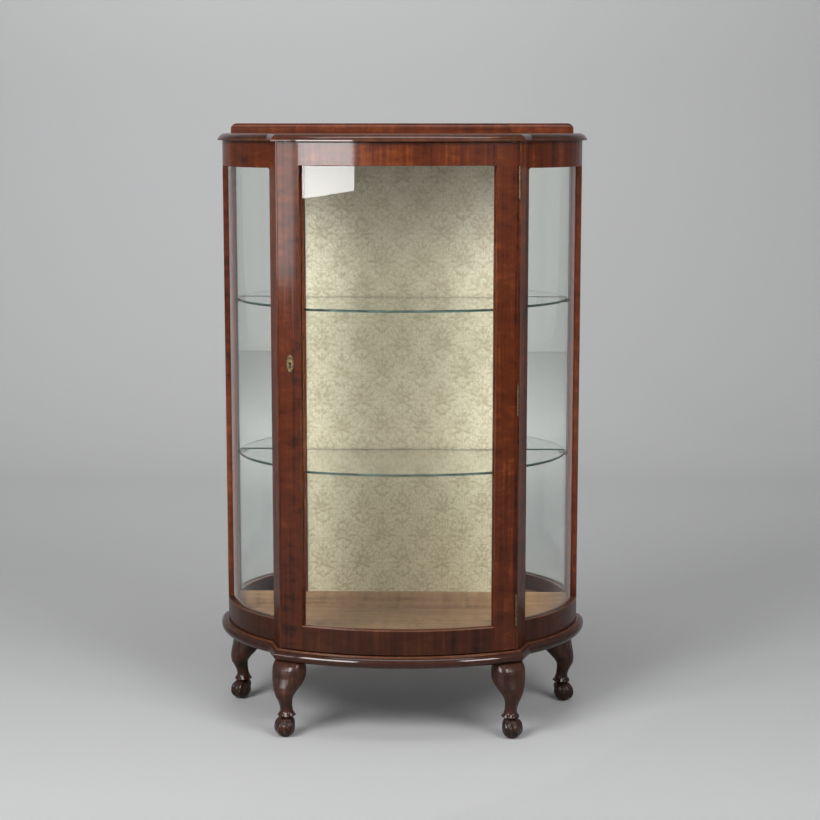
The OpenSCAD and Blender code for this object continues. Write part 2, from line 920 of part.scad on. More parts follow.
module door_rail_top() {
    color(mahogany)
        difference() {
            bow_ring(door_back_r, bow_r, -a_sight, a_sight, door_sight_z1, door_z1);
            bow_ring(door_back_r - cut, bow_r - lip_t, -a_sight - cut, a_sight + cut,
                     door_sight_z1 - cut, door_sight_z1 + rebate);
        }
}

module door_rail_bottom() {
    color(mahogany)
        difference() {
            bow_ring(door_back_r, bow_r, -a_sight, a_sight, door_z0, door_sight_z0);
            bow_ring(door_back_r - cut, bow_r - lip_t, -a_sight - cut, a_sight + cut,
                     door_sight_z0 - rebate, door_sight_z0 + cut);
        }
}

module door_glass() {
    color(clear_glass)
        bow_ring(door_pane_r - glass_t, door_pane_r,
                 -a_sight - a_rebate + a_gap, a_sight + a_rebate - a_gap,
                 door_sight_z0 - rebate + glass_gap, door_sight_z1 + rebate - glass_gap);
}

module door_bead() {
    r1 = door_pane_r - glass_t - glass_gap / 4;
    color(mahogany)
        difference() {
            bow_ring(door_back_r, r1, -a_sight - a_rebate, a_sight + a_rebate,
                     door_sight_z0 - rebate, door_sight_z1 + rebate);
            bow_ring(door_back_r - cut, r1 + cut, -a_sight, a_sight, door_sight_z0, door_sight_z1);
        }
}

// ---- Hinges ----

// Room in the wood for the knuckles and the tips of the pin
module knuckle_pocket() {
    end = hinge_len / 2 + pin_tip + knuckle_gap;
    translate([0, -pin_proud, -end]) cylinder(r = knuckle_r + knuckle_gap, h = 2 * end, $fn = 48);
}

// One leaf on the right (side = 1) or the left (side = -1) of the joint, with its knuckles
module hinge_leaf(side) {
    shoulder = knuckle_r - pin_proud + knuckle_gap;
    inner = door_side_gap / 2;
    first = side > 0 ? 0 : 1;
    difference() {
        union() {
            translate([side > 0 ? inner : -inner - leaf_t, shoulder, -hinge_len / 2])
                cube([leaf_t, leaf_w - shoulder, hinge_len]);
            for (i = [first : 2 : knuckles - 1])
                translate([0, 0, i * knuckle_len - hinge_len / 2 + knuckle_gap / 2]) {
                    translate([0, -pin_proud, 0])
                        cylinder(r = knuckle_r, h = knuckle_len - knuckle_gap, $fn = 48);
                    translate([side > 0 ? inner : -inner - leaf_t, -pin_proud, 0])
                        cube([leaf_t, pin_proud + shoulder + cut, knuckle_len - knuckle_gap]);
                }
        }
        translate([0, -pin_proud, -hinge_len])
            cylinder(r = pin_r + pin_gap, h = 2 * hinge_len, $fn = 48);
    }
}

module hinge_leaves_frame() {
    color(brass)
        difference() {
            for (z = hinge_zs) at_bow(a_joint, z) hinge_leaf(1);
            frame_screw_set(thread_gap);
        }
}

module hinge_leaves_door() {
    color(brass)
        difference() {
            for (z = hinge_zs) at_bow(a_joint, z) hinge_leaf(-1);
            door_screw_set(thread_gap);
        }
}

module hinge_pins() {
    color(brass)
        for (z = hinge_zs) at_bow(a_joint, z)
            translate([0, -pin_proud, -hinge_len / 2]) {
                cylinder(r = pin_r, h = hinge_len, $fn = 48);
                translate([0, 0, -pin_tip]) cylinder(r1 = pin_r, r2 = knuckle_r, h = pin_tip, $fn = 48);
                translate([0, 0, hinge_len]) cylinder(r1 = knuckle_r, r2 = pin_r, h = pin_tip, $fn = 48);
            }
}

// ---- Screws ----

// A countersunk screw along +X, with its head's face at the origin
module screw(len, gap) {
    rotate([0, 90, 0]) {
        cylinder(r1 = screw_head_r + gap, r2 = screw_r + gap, h = screw_cone, $fn = 32);
        cylinder(r = screw_r + gap, h = len + gap, $fn = 32);
    }
}

module door_screw_set(gap) {
    for (z = hinge_zs, i = [-1, 0, 1])
        at_bow(a_joint, z)
            translate([-door_side_gap / 2, screw_y, i * screw_pitch])
                rotate([0, 0, 180]) screw(door_screw_len, gap);
}

module lock_screw_set(gap) {
    for (s = [-1, 1])
        at_bow(-a_door, lock_z)
            translate([0, bolt_y + bolt_t / 2, s * lock_screw_z]) screw(door_screw_len, gap);
}

module door_screws() {
    color(steel) {
        door_screw_set(0);
        lock_screw_set(0);
    }
}

module frame_screw_set(gap) {
    for (z = hinge_zs, i = [-1, 0, 1])
        at_bow(a_joint, z)
            translate([door_side_gap / 2, screw_y, i * screw_pitch]) screw(stile_screw_len, gap);
}

module keep_screw_set(gap) {
    for (s = [-1, 1])
        at_bow(-a_open, lock_z)
            translate([0, bolt_y + bolt_t / 2, s * (keep_h + bolt_h) / 4])
                rotate([0, 0, 180]) screw(stile_screw_len, gap);
}

module frame_screws() {
    color(steel) {
        frame_screw_set(0);
        keep_screw_set(0);
    }
}

// ---- Lock ----

// The keyhole, from depth y0 to depth y1 behind the face of the door
module keyhole(y0, y1) {
    r = 2.8;
    slot_w = 2.6;
    slot_h = 9;
    translate([0, y0, 0]) rotate([-90, 0, 0]) cylinder(r = r, h = y1 - y0, $fn = 32);
    translate([-slot_w / 2, y0, -slot_h]) cube([slot_w, y1 - y0, slot_h]);
}

module escutcheon() {
    r = (escutcheon_h * escutcheon_h + escutcheon_w * escutcheon_w) / (4 * escutcheon_w);
    color(brass)
        at_bow(-a_keyhole, lock_z)
            difference() {
                rotate([90, 0, 0])
                    linear_extrude(escutcheon_t)
                        intersection_for (s = [-1, 1])
                            translate([s * (r - escutcheon_w / 2), 0]) circle(r, $fn = 180);
                keyhole(-escutcheon_t - cut, cut);
            }
}

module lock_case() {
    inside_h = case_h - 2 * case_wall;
    pin_post_r = 1.3;
    color(steel)
        at_bow(-a_door, lock_z) {
            difference() {
                union() {
                    translate([0, case_y, -case_h / 2]) cube([case_w, case_t, case_h]);
                    translate([0, case_y, -selvedge_h / 2]) cube([case_wall, case_t, selvedge_h]);
                }
                translate([case_wall, case_y + case_wall, -inside_h / 2])
                    cube([case_w - 2 * case_wall, case_t - 2 * case_wall, inside_h]);
                translate([-cut, bolt_y - bolt_gap, -bolt_h / 2 - bolt_gap])
                    cube([case_wall + 2 * cut, bolt_t + 2 * bolt_gap, bolt_h + 2 * bolt_gap]);
                translate([keyhole_inset, 0, 0]) keyhole(case_y - cut, case_y + case_wall + cut);
                for (s = [-1, 1])
                    translate([0, bolt_y + bolt_t / 2, s * lock_screw_z])
                        screw(door_screw_len, thread_gap);
            }
            translate([keyhole_inset, case_y + case_wall, 0])
                rotate([-90, 0, 0]) cylinder(r = pin_post_r, h = case_t - 2 * case_wall, $fn = 32);
        }
}

module lock_bolt() {
    color(brass)
        at_bow(-a_door, lock_z)
            translate([bolt_gap, bolt_y, -bolt_h / 2]) cube([bolt_len, bolt_t, bolt_h]);
}

module keep_plate() {
    color(brass)
        difference() {
            at_bow(-a_open, lock_z)
                difference() {
                    translate([-keep_t, bolt_y - case_wall, -keep_h / 2])
                        cube([keep_t, bolt_t + 2 * case_wall, keep_h]);
                    translate([-keep_t - cut, bolt_y - bolt_gap, -bolt_h / 2 - bolt_gap])
                        cube([keep_t + 2 * cut, bolt_t + 2 * bolt_gap, bolt_h + 2 * bolt_gap]);
                }
            keep_screw_set(thread_gap);
        }
}

// ---- Legs ----

// Sections of a cabriole leg, from its top down to the collar, each with its
// share of that height, its place behind the foot, its half depth and half width
leg_sections = [
    [1.00, knee_back * 1.10, knee_d * 0.30, knee_w * 0.43],
    [0.94, knee_back * 1.05, knee_d * 0.42, knee_w * 0.48],
    [0.86, knee_back, knee_d * 0.48, knee_w * 0.5],
    [0.73, knee_back * 0.92, knee_d * 0.5, knee_w * 0.5],
    [0.61, knee_back * 0.55, knee_d * 0.47, knee_w * 0.45],
    [0.52, knee_back * 0.1, knee_d * 0.4, knee_w * 0.37],
    [0.42, -knee_back * 0.12, knee_d * 0.33, knee_w * 0.28],
    [0.26, ankle_back * 0.4, ankle_r * 1.15, ankle_r * 1.12],
    [0.14, ankle_back * 0.85, ankle_r, ankle_r],
    [0.00, ankle_back, ankle_r * 1.1, ankle_r * 1.1],
];

module leg_slice(s) {
    slice_t = 0.5;
    low = ball_h + collar_t;
    translate([-s[1], 0, low + s[0] * (leg_h - low) - slice_t])
        scale([s[2] / s[3], 1, 1]) cylinder(r = s[3], h = slice_t, $fn = 32);
}

// One leg, with its knee towards +X and the middle of its foot at the origin
module leg() {
    ball_flat = 0.56;
    bead_t = collar_t / 3;
    for (i = [0 : len(leg_sections) - 2]) hull() {
        leg_slice(leg_sections[i]);
        leg_slice(leg_sections[i + 1]);
    }
    translate([-ankle_back, 0, ball_h]) {
        cylinder(r = collar_r, h = bead_t, $fn = 32);
        translate([0, 0, bead_t]) cylinder(r1 = collar_r, r2 = ankle_r, h = collar_t - bead_t, $fn = 32);
    }
    intersection() {
        translate([0, 0, ball_h / 2]) scale([1, 1, ball_flat * ball_h / ball_r]) sphere(r = ball_r, $fn = 36);
        translate([-ball_r, -ball_r, 0]) cube([2 * ball_r, 2 * ball_r, ball_h]);
    }
    translate([-ankle_back, 0, ball_h / 2]) cylinder(r = ankle_r, h = ball_h / 2 + bead_t, $fn = 32);
}

module leg_at(x, d, turn) {
    color(mahogany)
        translate([x, back_y - d, 0]) rotate([0, 0, -turn]) leg();
}

module leg_front_right() {
    leg_at(front_feet_w / 2, front_feet_d, front_leg_turn);
}

module leg_front_left() {
    mirror([1, 0, 0]) leg_front_right();
}

module leg_rear_right() {
    leg_at(rear_feet_w / 2, rear_feet_d, rear_leg_turn);
}

module leg_rear_left() {
    mirror([1, 0, 0]) leg_rear_right();
}

top_board();
top_moulding_front();
top_moulding_left();
top_moulding_right();
gallery_middle();
gallery_left();
gallery_right();
frieze_left();
frieze_right();
top_rail_front();
front_stile_left();
front_stile_right();
rear_post_left();
rear_post_right();
side_rail_left();
side_rail_right();
side_glass_left();
side_glass_right();
side_bead_left();
side_bead_right();
floor_board();
base_board();
base_moulding_front();
base_moulding_left();
base_moulding_right();
back_panel();
back_top_rail();
back_skirting();
back_screws();
mirror_left();
mirror_right();
lining_panel();
lining_bead_left();
lining_bead_right();
lower_shelf();
upper_shelf();
shelf_studs();
door_stile_lock();
door_stile_hinge();
door_rail_top();
door_rail_bottom();
door_glass();
door_bead();
escutcheon();
lock_case();
lock_bolt();
keep_plate();
hinge_leaves_door();
hinge_leaves_frame();
hinge_pins();
door_screws();
frame_screws();
leg_front_left();
leg_front_right();
leg_rear_left();
leg_rear_right();
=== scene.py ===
"""China display cabinet: a bowed glass door between bent glass sides, on cabriole legs.

Metres, +Z up, front towards -Y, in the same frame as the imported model.
"""

import itertools
import math
from contextlib import contextmanager

import bmesh
import bpy
import numpy as np
from mathutils import Matrix, Vector


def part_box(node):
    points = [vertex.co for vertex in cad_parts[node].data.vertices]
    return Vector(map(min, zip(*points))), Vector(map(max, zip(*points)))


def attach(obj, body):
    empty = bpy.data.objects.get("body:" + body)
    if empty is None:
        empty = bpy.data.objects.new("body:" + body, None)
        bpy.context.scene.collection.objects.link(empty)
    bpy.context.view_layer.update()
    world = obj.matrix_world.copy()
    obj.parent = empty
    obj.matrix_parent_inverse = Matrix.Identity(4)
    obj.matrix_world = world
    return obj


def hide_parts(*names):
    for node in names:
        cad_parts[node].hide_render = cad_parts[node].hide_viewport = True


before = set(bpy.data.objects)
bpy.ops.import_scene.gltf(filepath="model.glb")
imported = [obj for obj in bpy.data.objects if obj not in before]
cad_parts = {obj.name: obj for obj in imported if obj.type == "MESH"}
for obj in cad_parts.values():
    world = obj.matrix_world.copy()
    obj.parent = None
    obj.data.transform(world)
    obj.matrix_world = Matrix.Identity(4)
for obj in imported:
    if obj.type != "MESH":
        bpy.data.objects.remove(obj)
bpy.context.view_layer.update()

MM = 0.001


def new_object(name, data):
    thing = bpy.data.objects.new(name, data)
    bpy.context.scene.collection.objects.link(thing)
    return thing


# ---- Camera ----

LENS_MM, SENSOR_MM = 83.93, 36.0
CAMERA_PLACE = (0.1106, -3.7982, 1.2116)
CAMERA_TILT, CAMERA_TURN = math.radians(81.446), 0.0238
VIEW_END = 60.0


def add_camera():
    lens = bpy.data.cameras.new("camera")
    lens.lens = LENS_MM
    lens.sensor_width = SENSOR_MM
    lens.clip_end = VIEW_END
    camera = new_object("camera", lens)
    camera.location = CAMERA_PLACE
    camera.rotation_euler = (CAMERA_TILT, 0.0, CAMERA_TURN)
    bpy.context.scene.camera = camera


add_camera()


# ---- Sizes: radii and widths as in the part's source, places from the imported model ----

def low(node):
    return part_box(node)[0]


def high(node):
    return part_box(node)[1]


BOW_R = 0.530            # outside of the bowed front
SIDE_R = 0.290           # outside of each round side
SIDE_T = 0.022
DOOR_T = 0.020
LIP_T = 0.008            # the wood in front of a pane
REBATE = 0.007
GLASS_T = 4 * MM
GLASS_GAP = 0.0004
BEAD_FRONT = -LIP_T - 4.6 * MM
BREAK_X = 0.236          # half the width between the breaks of the front
STILE_X = 0.253          # half the width where the round sides begin
POST_W = 0.038
DOOR_STILE_W = 0.046
OPENING_IN = 0.0034      # from a break to the door's opening
DOOR_GAP = 0.0008
KEYHOLE_IN = 0.025       # from the door's edge

BACK_Y = high("rear_post_right").y
BOW_Y = low("door_rail_bottom").y + BOW_R
SIDE_X = high("rear_post_right").x - SIDE_R
Z0, Z1 = low("front_stile_right").z, high("front_stile_right").z
LEG_H = low("base_board").z
SIGHT0, SIGHT1 = high("side_rail_right").z, low("frieze_right").z
DOOR0, DOOR1 = low("door_stile_lock").z, high("door_stile_lock").z
DOOR_SIGHT0, DOOR_SIGHT1 = high("door_rail_bottom").z, low("door_rail_top").z
LOCK_Z = (low("escutcheon").z + high("escutcheon").z) / 2

# Angles on the bow from its middle, and on a side from the back
A_BREAK = math.asin(BREAK_X / BOW_R)
A_DOOR = A_BREAK - OPENING_IN / BOW_R - DOOR_GAP / BOW_R
A_SIGHT = A_DOOR - DOOR_STILE_W / BOW_R
A_KEYHOLE = A_DOOR - KEYHOLE_IN / BOW_R
T_STILE = math.acos((STILE_X - SIDE_X) / SIDE_R)
T_POST = POST_W / SIDE_R


# ---- Node helpers ----

def add(tree, kind, props=None, **inputs):
    """A node. Inputs are named, with _ for a space, or i0, i1 ... by place."""
    n = tree.nodes.new(kind if "Node" in kind or "Group" in kind else "ShaderNode" + kind)
    for key, value in (props or {}).items():
        setattr(n, key, value)
    for key, value in inputs.items():
        place = int(key[1:]) if key[0] == "i" and key[1:].isdigit() else key.replace("_", " ")
        if isinstance(value, bpy.types.NodeSocket):
            tree.links.new(value, n.inputs[place])
        else:
            n.inputs[place].default_value = value
    return n


def calc(tree, operation, a, b=0.0, c=0.0):
    return add(tree, "Math", {"operation": operation}, i0=a, i1=b, i2=c).outputs[0]


def times(tree, a, b):
    return calc(tree, "MULTIPLY", a, b)


def scaled(tree, value, scale, start):
    return calc(tree, "MULTIPLY_ADD", value, scale, start)


def blend(tree, factor, a, b, mode="MIX"):
    return add(tree, "Mix", {"data_type": "RGBA", "blend_type": mode},
               i0=factor, i6=a, i7=b).outputs[2]


def step(tree, value, start, end, out0=0.0, out1=1.0):
    """A smooth step of value, from out0 at start to out1 at end."""
    return add(tree, "MapRange", {"interpolation_type": "SMOOTHSTEP"},
               Value=value, From_Min=start, From_Max=end, To_Min=out0, To_Max=out1).outputs[0]


def tinted(tree, factor, colour, tint):
    """The colour, with tint multiplied in by factor."""
    return blend(tree, factor, colour, blend(tree, 1.0, colour, (*tint, 1), "MULTIPLY"))


def stretch(tree, vector, scale):
    return add(tree, "VectorMath", {"operation": "MULTIPLY"}, i0=vector, i1=scale).outputs[0]


def split(tree, vector):
    return add(tree, "SeparateXYZ", i0=vector).outputs


def noise(tree, vector, scale=1.0, detail=2.0, rough=0.5, distortion=0.0):
    return add(tree, "TexNoise", Vector=vector, Scale=scale, Detail=detail,
               Roughness=rough, Distortion=distortion).outputs["Fac"]


def bump(tree, strength, depth_mm, height, **under):
    return add(tree, "Bump", Strength=strength, Distance=depth_mm * MM, Height=height,
               **under).outputs[0]


def new_group(name, inputs, outputs):
    g = bpy.data.node_groups.new(name, "ShaderNodeTree")
    for label, kind, value in inputs:
        s = g.interface.new_socket(name=label, in_out="INPUT", socket_type="NodeSocket" + kind)
        if value is not None:
            s.default_value = value
    for label in outputs:
        kind = "Color" if label == "Color" else "Float"
        g.interface.new_socket(name=label, in_out="OUTPUT", socket_type="NodeSocket" + kind)
    return g, g.nodes.new("NodeGroupInput").outputs


def group_out(g, **values):
    add(g, "NodeGroupOutput", **values)
    return g


def use_group(tree, g, **inputs):
    return add(tree, "ShaderNodeGroup", {"node_tree": g}, **inputs).outputs


def new_material(name):
    m = bpy.data.materials.new(name)
    m.use_nodes = True
    m.node_tree.nodes.clear()
    return m, m.node_tree


def surface(tree, shader):
    add(tree, "OutputMaterial", Surface=shader.outputs[0])


def principled(tree, **inputs):
    surface(tree, add(tree, "BsdfPrincipled", **inputs))


def object_place(tree):
    return add(tree, "TexCoord").outputs["Object"]


def grain_place(tree):
    return add(tree, "Attribute", {"attribute_name": "grain"}).outputs["Vector"]


# ---- Shared node groups ----

def make_wood_figure():
    """Figured wood in grain space: X runs along the grain."""
    black = (0, 0, 0, 1)
    g, i = new_group(
        "wood_figure",
        [("Vector", "Vector", None), ("Dark", "Color", black), ("Mid", "Color", black),
         ("Light", "Color", black), ("Mottle", "Float", 0.2)],
        ["Color", "Height", "Dull"])
    v = i["Vector"]
    tone = noise(g, stretch(g, v, (0.9, 16, 16)), 1, 3, 0.55, 0.8)
    ribbon = noise(g, stretch(g, v, (2.4, 105, 105)), 1, 5, 0.62, 0.2)
    fibre = noise(g, stretch(g, v, (24, 950, 950)), 1, 2, 0.6)
    mottle = noise(g, stretch(g, v, (46, 17, 17)), 1, 3, 0.6, 0.6)
    pores = step(g, noise(g, stretch(g, v, (85, 1700, 1700)), 1, 1, 0.5), 0.60, 0.72)
    t = scaled(g, tone, 0.52, times(g, ribbon, 0.48))
    t = scaled(g, calc(g, "SUBTRACT", mottle, 0.5), i["Mottle"], t)
    t = scaled(g, calc(g, "SUBTRACT", fibre, 0.5), 0.16, t)
    colour = blend(g, step(g, t, 0.33, 0.50), i["Dark"], i["Mid"])
    colour = blend(g, step(g, t, 0.50, 0.68), colour, i["Light"])
    shade = scaled(g, pores, -0.42, 1.0)
    grey = add(g, "CombineColor", i0=shade, i1=shade, i2=shade).outputs[0]
    return group_out(g, Color=blend(g, 1.0, colour, grey, "MULTIPLY"),
                     Height=calc(g, "SUBTRACT", times(g, fibre, 0.25), pores),
                     Dull=scaled(g, pores, 0.5, times(g, mottle, 0.5)))


def make_handled():
    """Where a surface has been handled, rubbed or dusted: masks in object space."""
    g, i = new_group("handled", [("Vector", "Vector", None)], ["Crackle", "Haze", "Dust"])
    v = i["Vector"]
    up = split(g, add(g, "NewGeometry").outputs["Normal"])["Z"]
    speck = step(g, noise(g, v, 55, 4, 0.7), 0.35, 0.8)
    return group_out(g, Crackle=noise(g, v, 330, 3, 0.65, 0.4),
                     Haze=step(g, noise(g, v, 7.5, 4, 0.6, 0.5), 0.35, 0.75),
                     Dust=times(g, step(g, up, 0.75, 1.0), speck))


WOOD_FIGURE = make_wood_figure()
HANDLED = make_handled()


# ---- Materials ----

DUST = (0.24, 0.20, 0.17, 1)
CUT_SHADOW = (0.008, 0.004, 0.003, 1)
GLASS_TINT = (0.955, 0.972, 0.962, 1)


def wood(name, dark, mid, light, mottle=0.42, coat=0.34, rough=(0.34, 0.52), pore_depth=0.12,
         skin=0.03, coat_rough=0.09, dust=0.12, carved_below=None, painted_low_shade=1.0):
    """Polished wood. Depths are in mm. The last argument is painted shade: below 1 it darkens the wood
    towards the floor.
    """
    m, t = new_material(name)
    figure = use_group(t, WOOD_FIGURE, Vector=grain_place(t), Dark=(*dark, 1), Mid=(*mid, 1),
                       Light=(*light, 1), Mottle=mottle)
    v = object_place(t)
    height = split(t, v)["Z"]
    marks = use_group(t, HANDLED, Vector=v)
    hazed = (*(c * 0.72 for c in mid), 1)
    colour = blend(t, times(t, marks["Haze"], 0.18), figure["Color"], hazed)
    # Painted shade: the wood is darker towards the floor, where less light falls
    if painted_low_shade < 1.0:
        colour = tinted(t, step(t, height, 0.75, 0.15), colour, [painted_low_shade] * 3)
    colour = blend(t, times(t, marks["Dust"], dust), colour, DUST)
    dull = scaled(t, figure["Dull"], 0.6, times(t, marks["Haze"], 0.4))
    dull = scaled(t, marks["Dust"], 0.6, dull)
    base = bump(t, 0.6, pore_depth, figure["Height"])
    top = bump(t, 0.5, skin, marks["Crackle"])
    if carved_below:
        carved = step(t, height, carved_below + 3 * MM, carved_below)
        cuts = noise(t, stretch(t, v, (190, 190, 120)), 1, 2, 0.55, 0.4)
        cuts = times(t, cuts, carved)
        colour = blend(t, times(t, step(t, cuts, 0.52, 0.40), carved), colour, CUT_SHADOW)
        base = bump(t, 1.0, 2.2, cuts, Normal=base)
        top = bump(t, 1.0, 1.6, cuts, Normal=top)
    principled(t, Base_Color=colour, Roughness=step(t, dull, 0.0, 1.0, *rough),
               Specular_IOR_Level=0.06, Coat_Weight=coat, Coat_Roughness=coat_rough, Coat_IOR=1.5,
               Normal=base, Coat_Normal=top)
    return m


def metal(name, bright, dark, rough, tarnish=0.5):
    m, t = new_material(name)
    v = object_place(t)
    grime = step(t, noise(t, v, 240, 5, 0.7, 0.5), 0.62 - tarnish * 0.3, 0.78)
    principled(t, Base_Color=blend(t, grime, (*bright, 1), (*dark, 1)), Metallic=1.0,
               Roughness=scaled(t, grime, 0.3, rough),
               Normal=bump(t, 0.35, 0.05, use_group(t, HANDLED, Vector=v)["Crackle"]))
    return m


def glass(name, wave=0.0):
    """Clear glass that lets the lamps through, so the cabinet is lit inside."""
    m, t = new_material(name)
    ripple = {}
    if wave:
        v = stretch(t, object_place(t), (9, 9, 2.2))
        ripple["Normal"] = bump(t, 0.4, wave, noise(t, v, 1, 2, 0.5))
    clear = add(t, "BsdfPrincipled", Base_Color=GLASS_TINT, Roughness=0.0, IOR=1.35,
                Transmission_Weight=1.0, **ripple)
    lamp = add(t, "BsdfTransparent", Color=GLASS_TINT)
    shadow = add(t, "LightPath").outputs["Is Shadow Ray"]
    surface(t, add(t, "MixShader", i0=shadow, i1=clear.outputs[0], i2=lamp.outputs[0]))
    return m


def glass_edge():
    """The ground and polished edge of a glass shelf, where the green of the glass shows."""
    m, t = new_material("glass_edge")
    cloud = noise(t, stretch(t, object_place(t), (30, 30, 260)), 1, 3, 0.6)
    green = blend(t, step(t, cloud, 0.35, 0.7), (0.006, 0.020, 0.015, 1), (0.030, 0.070, 0.055, 1))
    principled(t, Base_Color=green, Roughness=step(t, cloud, 0.3, 0.7, 0.08, 0.3), IOR=1.5,
               Coat_Weight=0.5, Coat_Roughness=0.05)
    return m


def mirror_glass():
    m, t = new_material("mirror")
    spots = step(t, noise(t, object_place(t), 42, 5, 0.75, 0.3), 0.66, 0.8)
    silver = blend(t, times(t, spots, 0.55), (0.615, 0.625, 0.61, 1), (0.42, 0.42, 0.38, 1))
    principled(t, Base_Color=silver, Metallic=1.0,
               Roughness=scaled(t, spots, 0.2, 0.012))
    return m


# Half of a traditional palmette, as leaves about the middle of their cell: place across and
# up, direction in degrees, half length, half width and bend. Lengths are in millimetres.
LEAVES = [
    (0.0, 4.0, 90, 18.0, 6.0, 0.0),
    (8.0, 13.0, 64, 17.0, 4.4, -0.5),
    (16.0, 9.0, 38, 18.0, 4.6, -0.7),
    (21.0, -2.0, 10, 18.0, 4.2, -0.8),
    (15.0, -14.0, -22, 15.0, 3.8, -0.7),
    (0.0, 38.0, 90, 15.0, 4.4, 0.0),
    (7.5, 36.0, 58, 11.0, 3.2, 0.7),
    (14.0, 30.0, 26, 8.5, 2.8, 0.8),
    (0.0, -40.0, 90, 17.0, 2.6, 0.0),
    (8.5, -37.0, 36, 11.0, 3.2, 0.8),
    (18.0, -30.0, 68, 8.0, 2.4, -0.9),
    (0.0, 62.0, 0, 3.6, 4.4, 0.0),
    (31.0, 19.0, 74, 9.0, 2.4, 0.6),
]


def make_palmette():
    """How deep a place lies inside the nearest leaf of the motif: under 1 is inside."""
    g, i = new_group("palmette", [("Vector", "Vector", None)], ["Depth"])
    nearest = 9.0
    for x, y, turn, long, wide, bend in LEAVES:
        q = add(g, "Mapping", {"vector_type": "TEXTURE"}, Vector=i["Vector"],
                Location=(x, y, 0), Rotation=(0, 0, math.radians(turn)), Scale=(long, wide, 1)).outputs[0]
        if bend:
            part = split(g, q)
            square = times(g, part["X"], part["X"])
            side = scaled(g, square, -bend, part["Y"])
            depth = scaled(g, side, side, square)
        else:
            depth = add(g, "VectorMath", {"operation": "DOT_PRODUCT"}, i0=q, i1=q).outputs["Value"]
        nearest = calc(g, "MINIMUM", depth, nearest)
    return group_out(g, Depth=nearest)


MOTIF_WIDE, MOTIF_TALL = 112.0, 150.0


def make_damask_weave():
    """The motif in diamond cells, a half-drop repeat, among scrolls that mirror about its middle."""
    g, i = new_group("damask_weave", [("Vector", "Vector", None), ("Across", "Float", 84.0),
                                      ("Drop", "Float", 116.0)], ["Leaf", "Scroll"])
    part = split(g, stretch(g, i["Vector"], (1000, 1000, 1000)))
    across = calc(g, "FRACT", calc(g, "ADD", calc(g, "DIVIDE", part["X"], i["Across"]), 0.5))
    up = calc(g, "FRACT", calc(g, "DIVIDE", part["Z"], i["Drop"]))
    x = calc(g, "ABSOLUTE", calc(g, "SUBTRACT", across, 0.5))
    z = calc(g, "SUBTRACT", up, 0.5)
    # Beyond the diamond's edge a place belongs to the next cell, half a drop away
    other = calc(g, "GREATER_THAN", calc(g, "ADD", x, calc(g, "ABSOLUTE", z)), 0.5)
    side = calc(g, "SIGN", z)
    x = calc(g, "ABSOLUTE", scaled(g, other, -0.5, x))
    z = scaled(g, times(g, other, side), -0.5, z)
    mm = add(g, "CombineXYZ", X=times(g, x, MOTIF_WIDE),
             Y=times(g, z, MOTIF_TALL)).outputs[0]
    inside_leaf = use_group(g, make_palmette(), Vector=mm)["Depth"]
    curl = calc(g, "ABSOLUTE", calc(g, "SUBTRACT", noise(g, mm, 0.12, 1.5, 0.5, 2.6), 0.5))
    ring = calc(g, "PINGPONG", times(g, curl, 10.0), 1.0)
    return group_out(g, Leaf=step(g, inside_leaf, 1.25, 0.75), Scroll=step(g, ring, 0.30, 0.62))


def damask_cloth():
    m, t = new_material("damask")
    v = object_place(t)
    weave = use_group(t, make_damask_weave(), Vector=v)
    slub = noise(t, stretch(t, v, (500, 500, 5200)), 1, 2, 0.6)
    warp = noise(t, stretch(t, v, (5200, 500, 500)), 1, 2, 0.6)
    thread = scaled(t, slub, 0.5, times(t, warp, 0.5))
    age = step(t, noise(t, v, 4.2, 4, 0.6, 0.5), 0.35, 0.7)
    ground = blend(t, age, (0.64, 0.59, 0.46, 1), (0.56, 0.51, 0.38, 1))
    leaf = blend(t, age, (0.24, 0.195, 0.108, 1), (0.20, 0.160, 0.085, 1))
    rubbed = step(t, noise(t, v, 160, 3, 0.6), 0.30, 0.62, 0.45, 1.0)
    figure = calc(t, "MAXIMUM", times(t, weave["Leaf"], 0.66),
                  times(t, weave["Scroll"], 0.9))
    colour = blend(t, times(t, figure, rubbed), ground, leaf)
    colour = blend(t, step(t, thread, 0.30, 0.70, 0.30, 0.0), colour, (0.26, 0.22, 0.13, 1))
    # Painted shade: the cloth is darker in its middle, where the stiles' shadows fall, and darker lower
    # down
    place = split(t, v)
    middle = times(t, step(t, calc(t, "ABSOLUTE", place["X"]), 0.18, 0.03), 0.55)
    painted_shade = scaled(t, step(t, place["Z"], 0.85, 0.15), 0.72, middle)
    colour = tinted(t, painted_shade, colour, (0.62, 0.56, 0.46))
    principled(t, Base_Color=colour, Sheen_Weight=0.2, Sheen_Roughness=0.4,
               Roughness=scaled(t, figure, -0.2, 0.78),
               Normal=bump(t, 0.6, 0.25, scaled(t, figure, 0.8, thread)))
    return m


RED_BROWN = ((0.022, 0.0042, 0.0010), (0.086, 0.0155, 0.0028), (0.18, 0.040, 0.0075))
MAHOGANY = wood("mahogany", *RED_BROWN, painted_low_shade=0.68)
MAHOGANY_TOP = wood("mahogany_top", *RED_BROWN, coat=0.0, rough=(0.6, 0.8))
# A darker copy of the mahogany for the lower rails: painted shade, as less light reaches them
MAHOGANY_SHADED_LOW = wood("mahogany_deep", (0.012, 0.0032, 0.0012), (0.036, 0.0095, 0.0036),
                     (0.075, 0.020, 0.0075), mottle=0.3, coat=0.24)
MAHOGANY_MOULDED = wood("mahogany_moulded", (0.010, 0.0024, 0.0009), (0.034, 0.0080, 0.0028),
                        (0.085, 0.022, 0.0070), mottle=0.3, coat=0.56, coat_rough=0.05, skin=0.015)
MAHOGANY_CARVED = wood("mahogany_carved", (0.010, 0.0034, 0.0020), (0.040, 0.013, 0.0064),
                       (0.098, 0.034, 0.0160), coat=0.40, coat_rough=0.24, carved_below=0.041)
